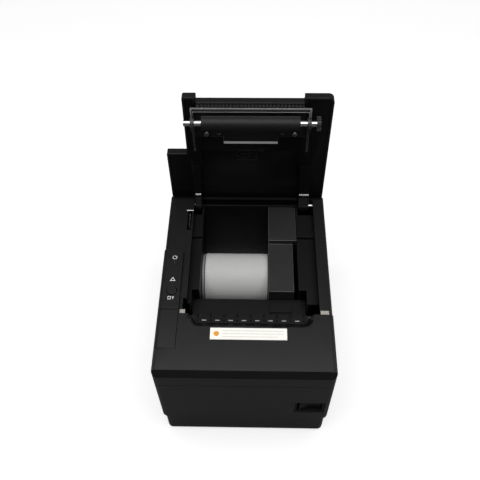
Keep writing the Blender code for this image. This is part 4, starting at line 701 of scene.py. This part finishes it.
def bright_bits():
    """Pale strips for painted highlights on steel edges: lip of the bracket, arm plates, dashes on the exit comb,
    spring wire.
    """
    low, high = box_in("platen_bracket", COVER)
    middle, half = (low.x + high.x) / 2, 23.0 * MM
    lip_end, face = high.y - 6.0 * MM, high.z - 1.7 * MM
    # A near-white strip along the bracket's lip: its steel edge with a painted highlight.
    bm = bmesh.new()
    plate(bm, middle - half, middle + half, lip_end - 2.6 * MM, lip_end - 0.1 * MM,
          face - 0.15 * MM, face + 0.2 * MM)
    piece_from(bm, "lip_edge_highlight", HIGHLIGHT_STEEL, "cover", COVER)

    margin = 0.3 * MM
    # Near-white plates on the arms' feet: a steel plate edge with a painted highlight.
    for side, arm_width in (("left", 5.8 * MM), ("right", 9.5 * MM)):
        low, high = box_in("hinge_pin_" + side, COVER)
        left = high.x - arm_width if side == "left" else low.x
        bm = bmesh.new()
        plate(bm, left + margin, left + arm_width - margin, -14.2 * MM, -12.8 * MM, 1.2 * MM, 2.2 * MM)
        piece_from(bm, "arm_highlight_plate_" + side, HIGHLIGHT_STEEL, "cover", COVER)

    # Pale dashes across the exit comb between its ribs: painted highlights where the rib tips catch the light.
    low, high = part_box("exit_comb")
    y, channel = high.y - 5.4 * MM, high.z - 1.4 * MM
    count, pitch, half, deep = 8, 11.0 * MM, 1.8 * MM, 0.35 * MM
    bm = bmesh.new()
    for x in spread((low.x + high.x) / 2, count, pitch):
        plate(bm, x - half, x + half, y - deep, y + deep, channel - 0.1 * MM, channel + 0.15 * MM)
    piece_from(bm, "comb_highlight_dashes", BARE_STEEL_AND_HIGHLIGHT, "body")

    # A near-white bar across the spring's slot: wire with a painted highlight.
    low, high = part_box("lid_spring")
    x, y = (low.x + high.x) / 2, high.y + 0.2 * MM
    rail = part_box("upper_case")[1].z - 4.1 * MM
    half, deep = 3.2 * MM, 0.4 * MM
    bm = bmesh.new()
    plate(bm, x - half, x + half, y - deep, y + deep, rail - 0.1 * MM, rail + 0.30 * MM)
    piece_from(bm, "spring_wire_highlight", HIGHLIGHT_STEEL, "body")


# ---------------------------------------------------------------- stage, light, camera
def floor_look():
    """White to the camera, but dim to everything that it could light."""
    lit, glow_strength, bounced = 0.55, 0.58, 0.16
    look = bpy.data.materials.new("floor_white")
    look.use_nodes = True
    tree = look.node_tree
    tree.nodes.remove(tree.nodes["Principled BSDF"])
    output = tree.nodes["Material Output"]
    seen = tree.nodes.new("ShaderNodeAddShader")
    pale = tree.nodes.new("ShaderNodeBsdfDiffuse")
    pale.inputs["Color"].default_value = (lit, lit, lit, 1.0)
    glow = tree.nodes.new("ShaderNodeEmission")
    glow.inputs["Strength"].default_value = glow_strength
    tree.links.new(pale.outputs["BSDF"], seen.inputs[0])
    tree.links.new(glow.outputs["Emission"], seen.inputs[1])
    dim = tree.nodes.new("ShaderNodeBsdfDiffuse")
    dim.inputs["Color"].default_value = (bounced, bounced, bounced, 1.0)
    ray = tree.nodes.new("ShaderNodeLightPath")
    mix = tree.nodes.new("ShaderNodeMixShader")
    tree.links.new(ray.outputs["Is Camera Ray"], mix.inputs["Fac"])
    tree.links.new(dim.outputs["BSDF"], mix.inputs[1])
    tree.links.new(seen.outputs["Shader"], mix.inputs[2])
    tree.links.new(mix.outputs["Shader"], output.inputs["Surface"])
    return look


def build_stage():
    """A floor, 6 m square, under the feet."""
    reach = 3.0
    bm = bmesh.new()
    bm.faces.new([bm.verts.new((x * reach, y * reach, 0.0)) for x, y in ((-1, -1), (1, -1), (1, 1), (-1, 1))])
    floor = put("floor", mesh_from(bm, "floor"))
    floor.data.materials.append(floor_look())


def area_light(name, place, target, size, power):
    """A soft box that the camera doesn't see; its power is in watts."""
    light = bpy.data.lights.new(name, "AREA")
    light.shape = "RECTANGLE"
    light.size, light.size_y = size
    light.energy = power
    lamp = put(name, light)
    lamp.location = place
    lamp.rotation_euler = (Vector(target) - Vector(place)).to_track_quat("-Z", "Y").to_euler()
    lamp.visible_camera = False


def build_light():
    """One large box overhead, and three weak ones that fill the sides and the rear."""
    world = bpy.data.worlds.new("studio")
    bpy.context.scene.world = world
    world.use_nodes = True
    background = world.node_tree.nodes["Background"]
    background.inputs["Color"].default_value = (1.0, 1.0, 1.0, 1.0)
    background.inputs["Strength"].default_value = 0.14
    area_light("top_box", (0.0, -0.19, 1.30), (0.0, -0.19, 0.0), (1.4, 1.0), 17.0)
    middle, fill_size, fill_power = (0.0, 0.0, 0.10), (1.3, 0.7), 3.6
    fills = (("left_box", (-1.7, 0.2, 0.45)), ("right_box", (1.7, 0.2, 0.45)), ("rear_box", (0.0, 1.8, 0.35)))
    for name, place in fills:
        area_light(name, place, middle, fill_size, fill_power)
    bpy.context.scene.view_settings.view_transform = "Standard"


def build_camera():
    """The photograph's view: from the front, a little over half a metre up, looking steeply down."""
    place = (0.0064, -0.2921, 0.5703)
    pitch, turn, tilt = 52.07, 2.06, -1.16  # down from level, to the left, and about its own axis
    data = bpy.data.cameras.new("camera")
    data.sensor_width = 36.0
    data.lens = 46.13
    data.shift_y = -0.05
    camera = put("camera", data)
    aim = Matrix.Rotation(math.radians(turn), 4, "Z") @ Matrix.Rotation(math.radians(90.0 - pitch), 4, "X")
    camera.matrix_world = Matrix.Translation(place) @ aim @ Matrix.Rotation(math.radians(tilt), 4, "Z")
    bpy.context.scene.camera = camera


build_camera()
build_stage()
build_light()
dress_case()
control_marks()
dress_label()
dress_bin()
dress_roll()
dress_mechanism()
dress_connectors()
dress_cover()
dress_tear_bar()
bracket_screws()
liner_details()
bright_bits()
